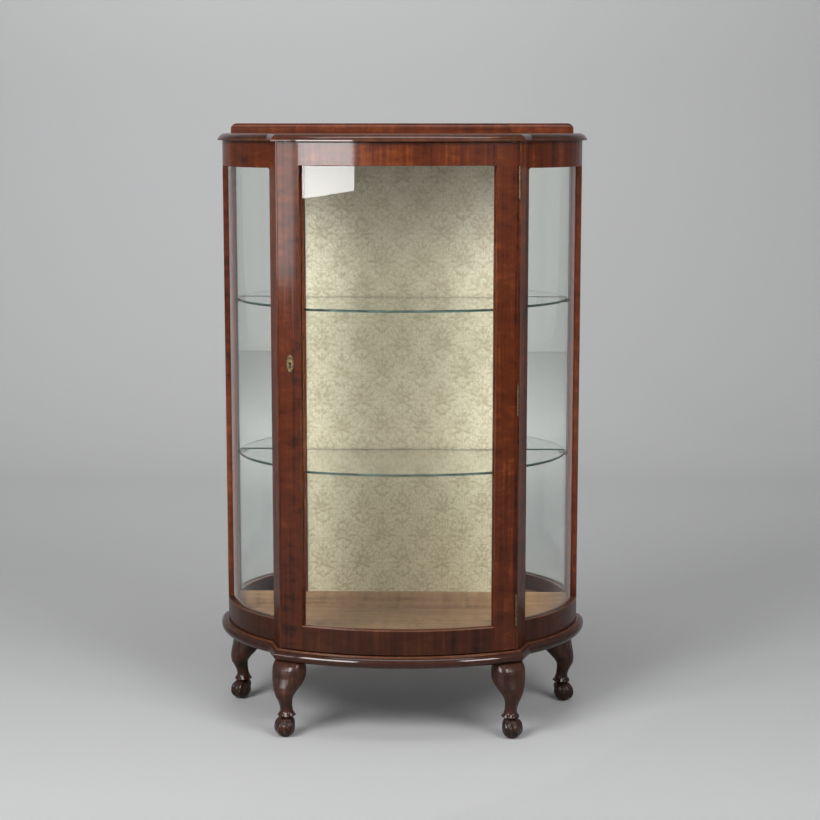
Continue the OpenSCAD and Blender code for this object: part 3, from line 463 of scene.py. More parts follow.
MAHOGANY_WORN = wood("mahogany_worn", (0.060, 0.019, 0.0075), (0.13, 0.042, 0.016), (0.22, 0.080, 0.034),
                     rough=(0.38, 0.6), coat=0.25, coat_rough=0.18)
DARK_WOOD = wood("dark_wood", (0.020, 0.009, 0.006), (0.045, 0.020, 0.012), (0.08, 0.036, 0.022),
                 coat=0.15, rough=(0.5, 0.7), coat_rough=0.3)
FLOOR_WOOD = wood("floor_wood", (0.105, 0.058, 0.028), (0.190, 0.112, 0.060), (0.265, 0.164, 0.092),
                  coat=0.2, rough=(0.36, 0.55), coat_rough=0.2)
PLYWOOD = wood("plywood", (0.30, 0.19, 0.10), (0.46, 0.31, 0.18), (0.58, 0.42, 0.26), mottle=0.1,
               coat=0.0, rough=(0.6, 0.85), pore_depth=0.3)
# Near-black wood for the keyhole's lining: painted shade
KEYHOLE_SHADE = wood("keyhole_dark", (0.004, 0.003, 0.002), (0.006, 0.004, 0.003), (0.01, 0.006, 0.004),
                 coat=0.0, rough=(0.8, 0.9), dust=0.0)
BRASS = metal("brass", (0.105, 0.076, 0.040), (0.036, 0.026, 0.017), 0.42, 0.8)
BRONZE = metal("brown_brass", (0.100, 0.060, 0.032), (0.035, 0.022, 0.014), 0.50, 0.8)
STEEL = metal("steel", (0.50, 0.49, 0.46), (0.14, 0.12, 0.10), 0.32)
PANE = glass("pane")
BENT_PANE = glass("bent_pane", wave=0.35)
GLASS_EDGE = glass_edge()
MIRROR = mirror_glass()
DAMASK = damask_cloth()

# The wood of a piece's faces, and that of its worn arrises
MAHOGANY_PAIR = (MAHOGANY, MAHOGANY_WORN)
SHADED_LOW_PAIR = (MAHOGANY_SHADED_LOW, MAHOGANY_WORN)
MOULDED_PAIR = (MAHOGANY_MOULDED, MAHOGANY_WORN)


# ---- Grain: where a piece of wood lies in the plank it was cut from ----

planks = itertools.count(1)
PLANK_STEP = np.array([3.1, 1.7, 2.3])


def bow_grain(co):
    x, y = co[:, 0], BOW_Y - co[:, 1]
    return np.stack([np.arctan2(x, y) * BOW_R, co[:, 2], np.hypot(x, y)], 1)


def side_grain(co):
    x, y = np.abs(co[:, 0]) - SIDE_X, BACK_Y - co[:, 1]
    return np.stack([np.arctan2(y, x) * SIDE_R, co[:, 2], np.hypot(x, y)], 1)


def across_grain(co):
    return co


def up_grain(co):
    return co[:, [2, 0, 1]]


def upright(grain):
    """The same mapping with the grain running up."""
    return lambda co: grain(co)[:, [1, 0, 2]]


def set_grain(mesh, coords):
    """Each piece lies in a plank of its own, so that no two show the same figure."""
    coords = coords + PLANK_STEP * next(planks)
    layer = mesh.attributes.get("grain") or mesh.attributes.new("grain", "FLOAT_VECTOR", "POINT")
    layer.data.foreach_set("vector", coords.astype(np.float32).ravel())


# ---- Pieces ----

@contextmanager
def reworked(mesh):
    """Opens a mesh for editing and closes it with its faces pointing outwards."""
    bm = bmesh.new()
    bm.from_mesh(mesh)
    yield bm
    bmesh.ops.recalc_face_normals(bm, faces=bm.faces)
    bm.to_mesh(mesh)
    bm.free()
    mesh.update()


def make(name, mesh, materials, node, grain=None, body="cabinet", smooth=38):
    """Turns a finished mesh into a piece that rides on a body and stands in a CAD node's place."""
    mesh.name = name
    for m in materials:
        mesh.materials.append(m)
    for p in mesh.polygons:
        p.use_smooth = True
    mesh.set_sharp_from_angle(angle=math.radians(smooth))
    if callable(grain):
        co = np.zeros(len(mesh.vertices) * 3)
        mesh.vertices.foreach_get("co", co)
        grain = grain(co.reshape(-1, 3))
    if grain is not None:
        set_grain(mesh, grain)
    piece = new_object(name, mesh)
    flatten_shading(piece)
    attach(piece, body)
    if node:
        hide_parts(node)


def evaluated_mesh(thing):
    graph = bpy.context.evaluated_depsgraph_get()
    return bpy.data.meshes.new_from_object(thing.evaluated_get(graph))


def flatten_shading(piece):
    """Lets large faces keep their own normals, so a rounded edge doesn't bend their reflections."""
    soften = piece.modifiers.new("weigh", "WEIGHTED_NORMAL")
    soften.keep_sharp = True
    soften.weight = 100
    old, name = piece.data, piece.data.name
    piece.data = evaluated_mesh(piece)
    piece.modifiers.remove(soften)
    bpy.data.meshes.remove(old)
    piece.data.name = name


def loft(rings, loop=False, worn=None):
    """A mesh through rings of equal length. worn marks the strips that get the second material."""
    k, n = len(rings[0]), len(rings)
    verts = np.concatenate([np.asarray(r, float) for r in rings])
    faces, tags = [], []
    for i in range(n if loop else n - 1):
        a, b = i * k, ((i + 1) % n) * k
        for j in range(k):
            jj = (j + 1) % k
            faces.append((a + j, a + jj, b + jj, b + j))
            tags.append(int(worn is not None and worn[j]))
    if not loop:
        faces += [tuple(range(k))[::-1], tuple(range((n - 1) * k, n * k))]
        tags += [0, 0]
    mesh = bpy.data.meshes.new("mesh")
    mesh.from_pydata([tuple(v) for v in verts], [], faces)
    mesh.polygons.foreach_set("material_index", tags)
    with reworked(mesh):
        pass
    return mesh


SMALL_ARRIS = 2.5        # mm


def rounded(corners, steps=4):
    """A closed section from corners: across, up, radius in mm. Also which points begin a worn arris."""
    points, worn = [], []
    n = len(corners)
    for i, (x, y, r) in enumerate(corners):
        if r <= 0:
            points.append((x, y))
            worn.append(False)
            continue
        p, radius = Vector((x, y)), r * MM
        a = (Vector(corners[i - 1][:2]) - p).normalized()
        b = (Vector(corners[(i + 1) % n][:2]) - p).normalized()
        half = a.angle(b) / 2
        centre = p + (a + b).normalized() * (radius / math.sin(half))
        start = p + a * (radius / math.tan(half)) - centre
        turn = start.angle_signed(p + b * (radius / math.tan(half)) - centre)
        for k in range(steps + 1):
            w = -turn * k / steps
            c, q = math.cos(w), math.sin(w)
            points.append((centre.x + start.x * c - start.y * q, centre.y + start.x * q + start.y * c))
            worn.append(k < steps and r < SMALL_ARRIS)
    return points, worn


# A station is a place in plan and the outward direction there: x, y, out x, out y

def bow_station(a):
    return (math.sin(a) * BOW_R, BOW_Y - math.cos(a) * BOW_R, math.sin(a), -math.cos(a))


def side_station(t, side=1):
    return (side * (SIDE_X + SIDE_R * math.cos(t)), BACK_Y - SIDE_R * math.sin(t),
            side * math.cos(t), -math.sin(t))


def ring_at(station, section):
    x, y, ox, oy = station
    return [(x + u * ox, y + u * oy, z) for u, z in section]


def spread(a, b, n):
    return [a + (b - a) * i / n for i in range(n + 1)]


def block_along(corners, stations):
    section, worn = rounded(corners)
    return loft([ring_at(at, section) for at in stations], worn=worn)


MERGE = 1e-5             # joins the loose triangles of a CAD node
FLAT = math.radians(0.4)
SHARP = math.radians(30)
AT_END = 1e-4            # how near a rod's end a point counts as on it


def finer_rounds(bm, centre, radii, every):
    """Cuts round faces every few degrees about an upright axis, and moves the cuts out to their arc."""
    cx, cy = centre
    angles = [math.atan2(v.co.y - cy, v.co.x - cx) for v in bm.verts]
    first, last = min(angles), max(angles)
    gap = math.radians(every)
    for i in range(int(first / gap) - 1, int(last / gap) + 2):
        if first < i * gap < last:
            bmesh.ops.bisect_plane(bm, geom=bm.verts[:] + bm.edges[:] + bm.faces[:], plane_co=(cx, cy, 0),
                                   plane_no=(-math.sin(i * gap), math.cos(i * gap), 0), dist=2e-6)
    for v in bm.verts:
        r = math.hypot(v.co.x - cx, v.co.y - cy)
        for target in radii:
            if abs(r - target) < 0.3 * MM:
                v.co.x = cx + (v.co.x - cx) * target / r
                v.co.y = cy + (v.co.y - cy) * target / r


def refine(node, centre=None, radii=(), bevel=0.6, shortest=6, segments=2, every=1.0):
    """A cleaned copy of a CAD node's mesh: round faces made fine and long edges softened.

    bevel is the edge's width in mm, on edges over shortest mm; round faces get a cut every few degrees.
    """
    if centre:
        shortest = 2
    mesh = bpy.data.meshes.new(node)
    with reworked(mesh) as bm:
        bm.from_mesh(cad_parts[node].data)
        bmesh.ops.remove_doubles(bm, verts=bm.verts, dist=MERGE)
        bmesh.ops.dissolve_limit(bm, angle_limit=FLAT, verts=bm.verts, edges=bm.edges)
        if centre:
            finer_rounds(bm, centre, radii, every)
        bmesh.ops.recalc_face_normals(bm, faces=bm.faces)
        if bevel:
            sharp = [e for e in bm.edges if len(e.link_faces) == 2 and e.is_convex
                     and e.calc_face_angle() > SHARP and e.calc_length() > shortest * MM]
            bmesh.ops.bevel(bm, geom=sharp, offset=bevel * MM, segments=segments, profile=0.5,
                            affect="EDGES", clamp_overlap=True, material=1)
    mesh.materials.clear()
    return mesh


def carry(node, materials, grain, slot="mahogany", body="cabinet", **finish):
    make(node + "_fine", refine(node, **finish), materials, node, grain, body)


def rods(node):
    """The rods in a CAD node, as (thick end, direction from it, length)."""
    bm = bmesh.new()
    bm.from_mesh(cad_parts[node].data)
    bmesh.ops.remove_doubles(bm, verts=bm.verts, dist=MERGE)
    left, found = dict.fromkeys(bm.verts), []
    while left:
        group, edge = [], [left.popitem()[0]]
        while edge:
            v = edge.pop()
            group.append(v)
            for e in v.link_edges:
                w = e.other_vert(v)
                if w in left:
                    del left[w]
                    edge.append(w)
        co = np.array([v.co for v in group])
        mean = co.mean(0)
        axis = np.linalg.svd(co - mean, full_matrices=False)[2][0]
        t = (co - mean) @ axis
        r = np.linalg.norm(co - mean - np.outer(t, axis), axis=1)
        if r[t > t.max() - AT_END].max() > r[t < t.min() + AT_END].max() + MERGE:
            axis, t = -axis, -t
        head = mean + axis * t.min()
        drift = co[t < t.min() + AT_END].mean(0) - head
        head += drift - axis * (drift @ axis)
        found.append((Vector(head), Vector(axis), float(t.max() - t.min())))
    bm.free()
    return sorted(found, key=lambda f: (round(f[0].x, 4), round(f[0].z, 4), f[0].y))


def lathe(profile, n=32):
    """A turned shape about Z from (radius, height) points in mm; a zero radius closes it."""
    turns = [(math.cos(i * math.tau / n), math.sin(i * math.tau / n)) for i in range(n)]
    mesh = loft([[(r * MM * x, r * MM * y, z * MM) for x, y in turns] for r, z in profile])
    with reworked(mesh) as bm:
        bmesh.ops.remove_doubles(bm, verts=bm.verts, dist=1e-7)
    return mesh


def placed(mesh, where):
    mesh = mesh.copy()
    mesh.transform(where)
    return mesh


def joined(meshes):
    mesh = bpy.data.meshes.new("joined")
    with reworked(mesh) as bm:
        for m in meshes:
            bm.from_mesh(m)
    return mesh


def at_bow(a, z):
    """The tangent frame of the bow: X along the door, Y into the cabinet."""
    return (Matrix.Translation((0, BOW_Y, 0)) @ Matrix.Rotation(a, 4, "Z")
            @ Matrix.Translation((0, -BOW_R, z)))


# ---- Door ----

def veneered(node, mesh, woods, body, grain):
    make(node + "_veneered", mesh, woods, node, upright(grain), body=body)


def door_frame():
    for name, a0, a1 in (("door_stile_lock", -A_DOOR, -A_SIGHT), ("door_stile_hinge", A_SIGHT, A_DOOR)):
        carry(name, MAHOGANY_PAIR, upright(bow_grain), body="door", centre=(0, BOW_Y),
              radii=(BOW_R, BOW_R - DOOR_T, BOW_R - LIP_T), bevel=0.7, every=0.5)
    sight = DOOR_SIGHT1
    top = [(0, sight, 1.2), (0, DOOR1, 0.8), (-DOOR_T, DOOR1, 0.6),
           (-DOOR_T, sight + REBATE, 0), (-LIP_T, sight + REBATE, 0), (-LIP_T, sight, 0.4)]
    sight = DOOR_SIGHT0
    bottom = [(0, DOOR0, 0.8), (0, sight, 1.2), (-LIP_T, sight, 0.4),
              (-LIP_T, sight - REBATE, 0), (-DOOR_T, sight - REBATE, 0), (-DOOR_T, DOOR0, 0.6)]
    for node, section, woods in (("door_rail_top", top, MAHOGANY_PAIR),
                                 ("door_rail_bottom", bottom, SHADED_LOW_PAIR)):
        stations = [bow_station(a) for a in spread(-A_SIGHT, A_SIGHT, 72)]
        veneered(node, block_along(section, stations), woods, "door", bow_grain)


def pane_block(station, s0, s1, z0, z1, radius, n):
    """A bent pane in its rebate; the opening's limits come in and the pane goes past them."""
    edge = (REBATE - GLASS_GAP) / radius
    u1 = radius - LIP_T - GLASS_GAP - radius
    u0 = radius - LIP_T - GLASS_GAP - GLASS_T - radius
    z0, z1 = z0 - REBATE + GLASS_GAP, z1 + REBATE - GLASS_GAP
    corners = [(u, z, 0.3) for u, z in ((u1, z0), (u1, z1), (u0, z1), (u0, z0))]
    section = rounded(corners, 2)[0]
    return loft([ring_at(station(a), section) for a in spread(s0 - edge, s1 + edge, n)])


def bead_frame(station, s0, s1, z0, z1, radius, back):
    """A mitred glazing bead round an opening; station takes an angle."""
    full = REBATE - 0.1 * MM
    profile = [(0, back + 1.2 * MM), (0.7 * MM, back + 0.3 * MM), (1.8 * MM, back), (full, back),
               (full, BEAD_FRONT), (0, BEAD_FRONT)]
    along, upward = 60, 6
    path = [(s0, z0, -1, -1)] + [(s, z0, 0, -1) for s in spread(s0, s1, along)[1:-1]]
    path += [(s1, z0, 1, -1)] + [(s1, z, 1, 0) for z in spread(z0, z1, upward)[1:-1]]
    path += [(s1, z1, 1, 1)] + [(s, z1, 0, 1) for s in spread(s1, s0, along)[1:-1]]
    path += [(s0, z1, -1, 1)] + [(s0, z, -1, 0) for z in spread(z1, z0, upward)[1:-1]]
    rings = []
    for s, z, ds, dz in path:
        ring = []
        for out, depth in profile:
            x, y, ox, oy = station(s + out * ds / radius)
            ring.append((x + ox * depth, y + oy * depth, z + out * dz))
        rings.append(ring)
    return loft(rings, loop=True)


def door_glazing():
    opening = (bow_station, -A_SIGHT, A_SIGHT, DOOR_SIGHT0, DOOR_SIGHT1, BOW_R)
    make("door_pane", pane_block(*opening, 96), (BENT_PANE,), "door_glass", None, "door", 25)
    make("door_glazing_bead", bead_frame(*opening, -DOOR_T), (MAHOGANY,), "door_bead",
         upright(bow_grain), body="door")


# ---- Sides ----

def side_frames():
    rail = [(0, Z0, 0.6), (0, SIGHT0, 1.2), (-LIP_T, SIGHT0, 0.4),
            (-LIP_T, SIGHT0 - REBATE, 0), (-SIDE_T, SIGHT0 - REBATE, 0.4), (-SIDE_T, Z0, 0)]
    for side, label in ((-1, "left"), (1, "right")):
        def station(t, side=side):
            return side_station(t, side)

        veneered(f"side_rail_{label}", block_along(rail, map(station, spread(T_POST, T_STILE, 60))),
                 SHADED_LOW_PAIR, "cabinet", side_grain)
        veneered(f"frieze_{label}", frieze_mesh(side), MAHOGANY_PAIR, "cabinet", side_grain)
        opening = (station, T_POST, T_STILE, SIGHT0, SIGHT1, SIDE_R)
        make(f"side_pane_{label}", pane_block(*opening, 90), (BENT_PANE,), f"side_glass_{label}",
             smooth=25)
        make(f"side_glazing_bead_{label}", bead_frame(*opening, -SIDE_T), (MAHOGANY,),
             f"side_bead_{label}", upright(side_grain))
        carry(f"rear_post_{label}", MAHOGANY_PAIR, upright(side_grain), centre=(side * SIDE_X, BACK_Y),
              radii=(SIDE_R, SIDE_R - SIDE_T, SIDE_R - LIP_T), bevel=0.7)
        carry(f"front_stile_{label}", MAHOGANY_PAIR, up_grain, bevel=0.9, segments=3)


def frieze_mesh(side):
    """The frieze rail, whose lip comes down in a small rounded corner at each end."""
    corner = 5 * MM
    rings = []
    ends = [corner * (1 - math.cos(w)) for w in spread(0, math.pi / 2, 8)]
    middle = spread(T_POST + corner / SIDE_R, T_STILE - corner / SIDE_R, 50)[1:-1]
    for t in [T_POST + e / SIDE_R for e in ends] + middle + [T_STILE - e / SIDE_R for e in reversed(ends)]:
        near = min(t - T_POST, T_STILE - t) * SIDE_R
        lip = SIGHT1
        if near < corner:
            lip = SIGHT1 - (corner - math.sqrt(max(0.0, corner ** 2 - max(0.0, corner - near) ** 2)))
        section, worn = rounded([(0, lip, 1.0), (0, Z1, 0.4), (-SIDE_T, Z1, 0),
                                 (-SIDE_T, SIGHT1 + REBATE, 0.4), (-LIP_T, SIGHT1 + REBATE, 0),
                                 (-LIP_T, lip, 0.4)])
        rings.append(ring_at(side_station(t, side), section))
    return loft(rings, worn=worn)


# ---- Mouldings ----

P_FRONT = bow_station(A_BREAK)[:2]
P_BACK = side_station(T_STILE)[:2]


def mitre(before, after):
    """The outward direction at a corner, long enough to keep the moulding's width."""
    b = Vector((before[0] + after[0], before[1] + after[1])).normalized()
    return b / b.dot(Vector(before))


def moulding(name, z, corners):
    """One moulding in three pieces, mitred at the breaks of the front."""
    section, worn = rounded(corners, 6)
    section = [(u, z + v) for u, v in section]
    across = Vector(P_BACK) - Vector(P_FRONT)
    run = across.normalized()
    straight = (run.y, -run.x) if run.y > 0 else (-run.y, run.x)
    front_mitre = mitre(bow_station(A_BREAK)[2:], straight)
    back_mitre = mitre(straight, side_station(T_STILE)[2:])

    def run_of(label, stations, along):
        rings = [ring_at(at, section) for at in stations]
        grain = np.array([(a, v, u) for a in along for u, v in section])
        make(f"{name}_{label}_run", loft(rings, worn=worn), MOULDED_PAIR, f"{name}_{label}", grain)

    def corner(side, p, out):
        return (side * p[0], p[1], side * out.x, out.y)

    bow = spread(-A_BREAK, A_BREAK, 110)
    run_of("front", [corner(-1, P_FRONT, front_mitre), *map(bow_station, bow[1:-1]),
                     corner(1, P_FRONT, front_mitre)], [a * BOW_R for a in bow])
    length = across.length
    round_side = spread(T_STILE, 0, 80)[1:]
    for side, label in ((-1, "left"), (1, "right")):
        run_of(label, [corner(side, P_FRONT, front_mitre), corner(side, P_BACK, back_mitre)]
               + [side_station(t, side) for t in round_side],
               [0.0, length] + [length + (T_STILE - t) * SIDE_R for t in round_side])


def in_mm(corners):
    return [(u * MM, v * MM, r) for u, v, r in corners]


INSET = -12              # how far the mouldings reach in under their boards, in mm


def mouldings():
    nose, out = 10.5, 15
    base = [(INSET, 0, 0), (out, 0, nose - 0.01), (out, 2 * nose, nose - 0.01), (8.2, 2 * nose, 0.6),
            (8.2, 2 * nose + 0.7, 0.4), (6.5, 2 * nose + 0.7, 0.3), (6.5, 24, 1.3), (0.4, 24, 0.3),
            (0.4, 23.2, 0), (INSET, 23.2, 0)]
    moulding("base_moulding", LEG_H, in_mm(base))
    sweep, rise = 16.2, 14
    top = [(INSET, 0, 0), (0.4, 0, 0), (0.4, 0.8, 0.2), (1.6, 0.8, 0.2), (1.6, 0, 0.2), (10, 0, 0.4),
           (10, 3.2, 0.5), (8.7, 3.2, 0.2)]
    top += [(-6.6 + sweep * math.cos(w), rise - sweep * (1 - math.sin(w)), 0)
            for w in spread(math.radians(20), math.pi / 2, 12)]
    moulding("top_moulding", Z1, in_mm(top + [(INSET, rise, 0)]))


def gallery_block(x0, x1, depth, round0, round1, drop=0.0, inset=0.0):
    """A length of the gallery, rounded along its front and at either end."""
    base_z = high("top_board").z
    h, r = 20 * MM, 12 * MM
    arc = spread(0, math.pi / 2, 10)
    ends = [r * (1 - math.cos(w)) for w in arc]
    xs = [x0 + e for e in ends] if round0 else [x0]
    xs += spread(xs[-1], x1 - (r if round1 else 0), 24)[1:]
    if round1:
        xs += [x1 - e for e in reversed(ends)][1:]
    front = [(depth, 0), (depth, h - r)]
    front += [(depth - r + r * math.cos(w), h - r + r * math.sin(w)) for w in arc[1:]]
    rings = []
    for x in xs:
        cap = h - drop
        for edge, on in ((x - x0, round0), (x1 - x, round1)):
            if on and edge < r:
                cap = min(cap, h - drop - r + math.sqrt(max(0.0, r * r - (r - edge) ** 2)))
        ring = [(x, BACK_Y - inset, base_z)] + [(x, BACK_Y - y, base_z + min(z, cap)) for y, z in front]
        rings.append(ring + [(x, BACK_Y - inset, base_z + cap)])
    return loft(rings)


def gallery():
    depth, projection, end, half = 34 * MM, 12 * MM, 350 * MM, 217 * MM
    # The middle is a rounded block over a plain one, held in a hair at its top and back
    middle = joined([gallery_block(-half, half, depth + projection, True, True),
                     gallery_block(-half, half, depth, False, False, 0.03 * MM, 0.1 * MM)])
    for label, mesh in (("middle", middle), ("left", gallery_block(-end, -half, depth, True, False)),
                        ("right", gallery_block(half, end, depth, False, True))):
        make(f"gallery_{label}_block", mesh, (MAHOGANY,), f"gallery_{label}", across_grain)


# ---- Legs ----

# Heights up a leg in mm, each with its place behind the foot, half depth, half width and squareness
LEG_SECTIONS = [
    (50.5, 5.8, 13.4, 13.4, 2.0), (55.0, 5.2, 12.4, 12.4, 2.0), (63.0, 3.4, 12.6, 12.6, 2.0),
    (72.0, 0.8, 14.4, 14.0, 2.0), (82.0, -1.8, 17.2, 17.2, 2.1), (92.0, 0.8, 20.6, 22.2, 2.2),
    (102.0, 6.6, 24.6, 27.6, 2.3), (111.0, 12.0, 27.2, 31.4, 2.4), (120.0, 15.4, 28.0, 33.2, 2.5),
    (129.0, 16.6, 27.8, 33.4, 2.6), (137.0, 17.2, 26.6, 33.0, 2.8), (144.0, 17.9, 24.0, 31.6, 3.0),
    (149.0, 18.4, 20.0, 30.0, 3.2), (152.0, 18.7, 17.0, 28.4, 3.2)]
# The collar above the ball, in mm: height, radius, depth of its lappets
CUFF = [(40.4, 14.4, 0.4), (41.2, 16.4, 0.9), (42.4, 17.6, 1.3), (44.0, 17.2, 1.2), (46.0, 15.9, 0.9),
        (48.0, 14.6, 0.5), (49.6, 13.6, 0.2)]
BALL_MID, BALL_HALF, BALL_R = 20.5, 19.5, 19.6
BALL_FOOT, BALL_NECK = -1.38, 1.22
CLAWS, CLAW_LIFT = (0.0, 1.15, -1.15, math.pi), 1.9
LAPPETS, FLUTES, FLUTE_DEPTH = 9, 16, 0.55
FOOT_SETBACK = 5.6       # how far the top of the ball lies behind its middle, in mm


def hill(x, middle, width):
    return np.exp(-((x - middle) / width) ** 2)


def turn_from(phi, angle):
    return np.angle(np.exp(1j * (phi - angle)))


def leg_mesh():
    """A cabriole leg about its foot's middle, with its knee towards +X."""
    n = 80
    phi = np.arange(n) * math.tau / n
    cosine, sine = np.cos(phi), np.sin(phi)
    rings = []

    def ring(z, behind, depth, wide, square, extra=0.0):
        p = 2.0 / square
        x = np.sign(cosine) * np.abs(cosine) ** p * depth
        y = np.sign(sine) * np.abs(sine) ** p * wide
        grow = 1 + extra / np.maximum(np.hypot(x, y), 1e-6)
        rings.append(np.stack([x * grow - behind, y * grow, np.full(n, z)], 1) * MM)

    claws = sum(hill(turn_from(phi, c), 0, 0.20) for c in CLAWS)
    for w in np.linspace(BALL_FOOT, BALL_NECK, 26):
        z = BALL_MID + BALL_HALF * math.sin(w) / math.sin(-BALL_FOOT)
        r = BALL_R * math.cos(w) ** 0.62
        knuckle = 1.0 + 0.55 * hill(z, 30, 5) + 0.45 * hill(z, 15, 4.5)
        taper = min(1.0, max(0.0, (z - 1.5) / 7))
        behind = FOOT_SETBACK * max(0.0, (z - 24) / 17)
        ring(z, behind, r, r, 2.0, CLAW_LIFT * claws * knuckle * taper)
    rings[0][:, 2] = 0.0
    lappets = 0.5 + 0.5 * np.cos(phi * LAPPETS)
    for z, r, cut in CUFF:
        ring(z, 5.7, r - cut, r - cut, 2.0, cut * 1.6 * lappets)
    heights, *columns = zip(*LEG_SECTIONS)
    front = hill(turn_from(phi, 0), 0, 0.85)
    for z in np.linspace(heights[0], heights[-1], 64):
        row = [np.interp(z, heights, column) for column in columns]
        # Carving on the knee: shallow flutes that fan out from its front
        ring(z, *row, FLUTE_DEPTH * hill(z, 122, 17) * front * np.cos(phi * FLUTES))
    return loft(rings)


def legs():
    base = leg_mesh()
    for place, apart, from_back, turn in (("front", 452, 303, 62), ("rear", 686, 47, 24)):
        for side, label in ((-1, "left"), (1, "right")):
            foot = Matrix.Translation((side * apart * MM / 2, BACK_Y - from_back * MM, 0))
            flip = Matrix.Scale(side, 4, (1, 0, 0))
            mesh = placed(base, foot @ flip @ Matrix.Rotation(-math.radians(turn), 4, "Z"))
            if side < 0:
                mesh.flip_normals()
            node = f"leg_{place}_{label}"
            make(node + "_carved", mesh, (MAHOGANY_CARVED,), node, up_grain, smooth=50)


# ---- Brass and steel ----

def screw_mesh():
    """A countersunk screw with a slot; its head's face is at the origin and it points along -Z."""
    half, depth = 0.34 * MM, 0.5 * MM
    mesh = lathe([(0, -6), (1.4, -5.5), (1.4, -1.4), (2.8, -0.12), (2.716, 0), (1.4, 0.10), (0, 0.12)], 36)
    with reworked(mesh) as bm:
        for side in (1, -1):
            bmesh.ops.bisect_plane(bm, geom=bm.verts[:] + bm.edges[:] + bm.faces[:],
                                   plane_co=(0, side * half, 0), plane_no=(0, side, 0), dist=1e-7)
        middles = [(f, f.calc_center_median()) for f in bm.faces]
        slot = [f for f, middle in middles if abs(middle.y) < half and middle.z > -0.05 * MM]
        made = bmesh.ops.extrude_face_region(bm, geom=slot)
        bmesh.ops.delete(bm, geom=slot, context="FACES")
        for v in made["geom"]:
            if isinstance(v, bmesh.types.BMVert):
                v.co.z = -depth
    return mesh


def placing_nodes():
    """Geometry nodes that put one object on every point, aligned to its axis, each turned a little."""
    g = bpy.data.node_groups.new("place_fasteners", "GeometryNodeTree")
    for label, kind in (("Geometry", "Geometry"), ("Fastener", "Object"), ("Seed", "Int"),
                        ("Finish", "Material")):
        g.interface.new_socket(name=label, in_out="INPUT", socket_type="NodeSocket" + kind)
    g.interface.new_socket(name="Geometry", in_out="OUTPUT", socket_type="NodeSocketGeometry")
    i = g.nodes.new("NodeGroupInput").outputs
    axis = add(g, "GeometryNodeInputNamedAttribute", {"data_type": "FLOAT_VECTOR"}, Name="axis").outputs[0]
    aim = add(g, "FunctionNodeAlignRotationToVector", {"axis": "Z"}, Vector=axis).outputs[0]
    turn = add(g, "FunctionNodeRandomValue", {"data_type": "FLOAT"}, i2=0.0, i3=6.283,
               Seed=i["Seed"]).outputs[1]
    spin = add(g, "FunctionNodeAxisAngleToRotation", Axis=(0, 0, 1), Angle=turn).outputs[0]
    full = add(g, "FunctionNodeRotateRotation", {"rotation_space": "LOCAL"}, i0=aim, i1=spin).outputs[0]
    thing = add(g, "GeometryNodeObjectInfo", Object=i["Fastener"]).outputs["Geometry"]
    copies = add(g, "GeometryNodeInstanceOnPoints", Points=i["Geometry"], Instance=thing, Rotation=full)
    real = add(g, "GeometryNodeRealizeInstances", i0=copies.outputs[0])
    finish = add(g, "GeometryNodeSetMaterial", Geometry=real.outputs[0], Material=i["Finish"])
    return group_out(g, Geometry=finish.outputs[0])


def fastener_set(node, body, one, tree, seed):
    """A copy of one steel fastener at every rod of a CAD node."""
    name = node[:-1] + "_heads"
    points = bpy.data.meshes.new(name)
    found = rods(node)
    points.from_pydata([tuple(f[0]) for f in found], [], [])
    axis = points.attributes.new("axis", "FLOAT_VECTOR", "POINT")
    axis.data.foreach_set("vector", np.array([-f[1] for f in found], np.float32).ravel())
    holder = new_object(name, points)
    placing = holder.modifiers.new("place", "NODES")
    placing.node_group = tree
    values = {"Fastener": one, "Seed": seed, "Finish": STEEL}
    for item in tree.interface.items_tree:
        if item.in_out == "INPUT" and item.name in values:
            placing[item.identifier] = values[item.name]
    holder.update_tag()
    bpy.context.view_layer.update()
    mesh = evaluated_mesh(holder)
    bpy.data.objects.remove(holder)
    mesh.materials.clear()
    make(name, mesh, (STEEL,), node, None, body, 40)


def fasteners():
    tree = placing_nodes()
    screw = new_object("screw_source", screw_mesh())
    for node, body, seed in (("door_screws", "door", 3), ("frame_screws", "cabinet", 5),
                             ("back_screws", "cabinet", 8)):
        fastener_set(node, body, screw, tree, seed)
    bpy.data.objects.remove(screw)


def turned_pin(head, axis, length):
    """A hinge pin with a button at either end, about the middle of a CAD pin."""
    tip = [(2.7, 30.15), (2.75, 30.6), (2.2, 31.3), (1.2, 31.5), (0, 31.5)]
    profile = [(r, -z) for r, z in reversed(tip)] + [(1.25, -29.86), (1.25, 29.86)] + tip
    return placed(lathe(profile), Matrix.Translation(head + axis * (length / 2)))


def metal_part(node, finish, slot, body, bevel, shortest):
    carry(node, (finish, finish), across_grain, slot, body, bevel=bevel, shortest=shortest)


def hinges_and_lock():
    metal_part("hinge_leaves_door", BRONZE, "brass", "door", 0.2, 1)
    metal_part("hinge_leaves_frame", BRONZE, "brass", "cabinet", 0.2, 1)
    make("hinge_pins_turned", joined([turned_pin(*rod) for rod in rods("hinge_pins")]), (BRONZE,),
         "hinge_pins", smooth=40)
    metal_part("lock_case", STEEL, "steel", "door", 0.3, 3)
    metal_part("lock_bolt", BRASS, "brass", "bolt", 0.4, 2)
    metal_part("keep_plate", BRASS, "brass", "cabinet", 0.2, 2)
    make("escutcheon_cast", escutcheon_mesh(), (BRASS,), "escutcheon", None, "door", 60)


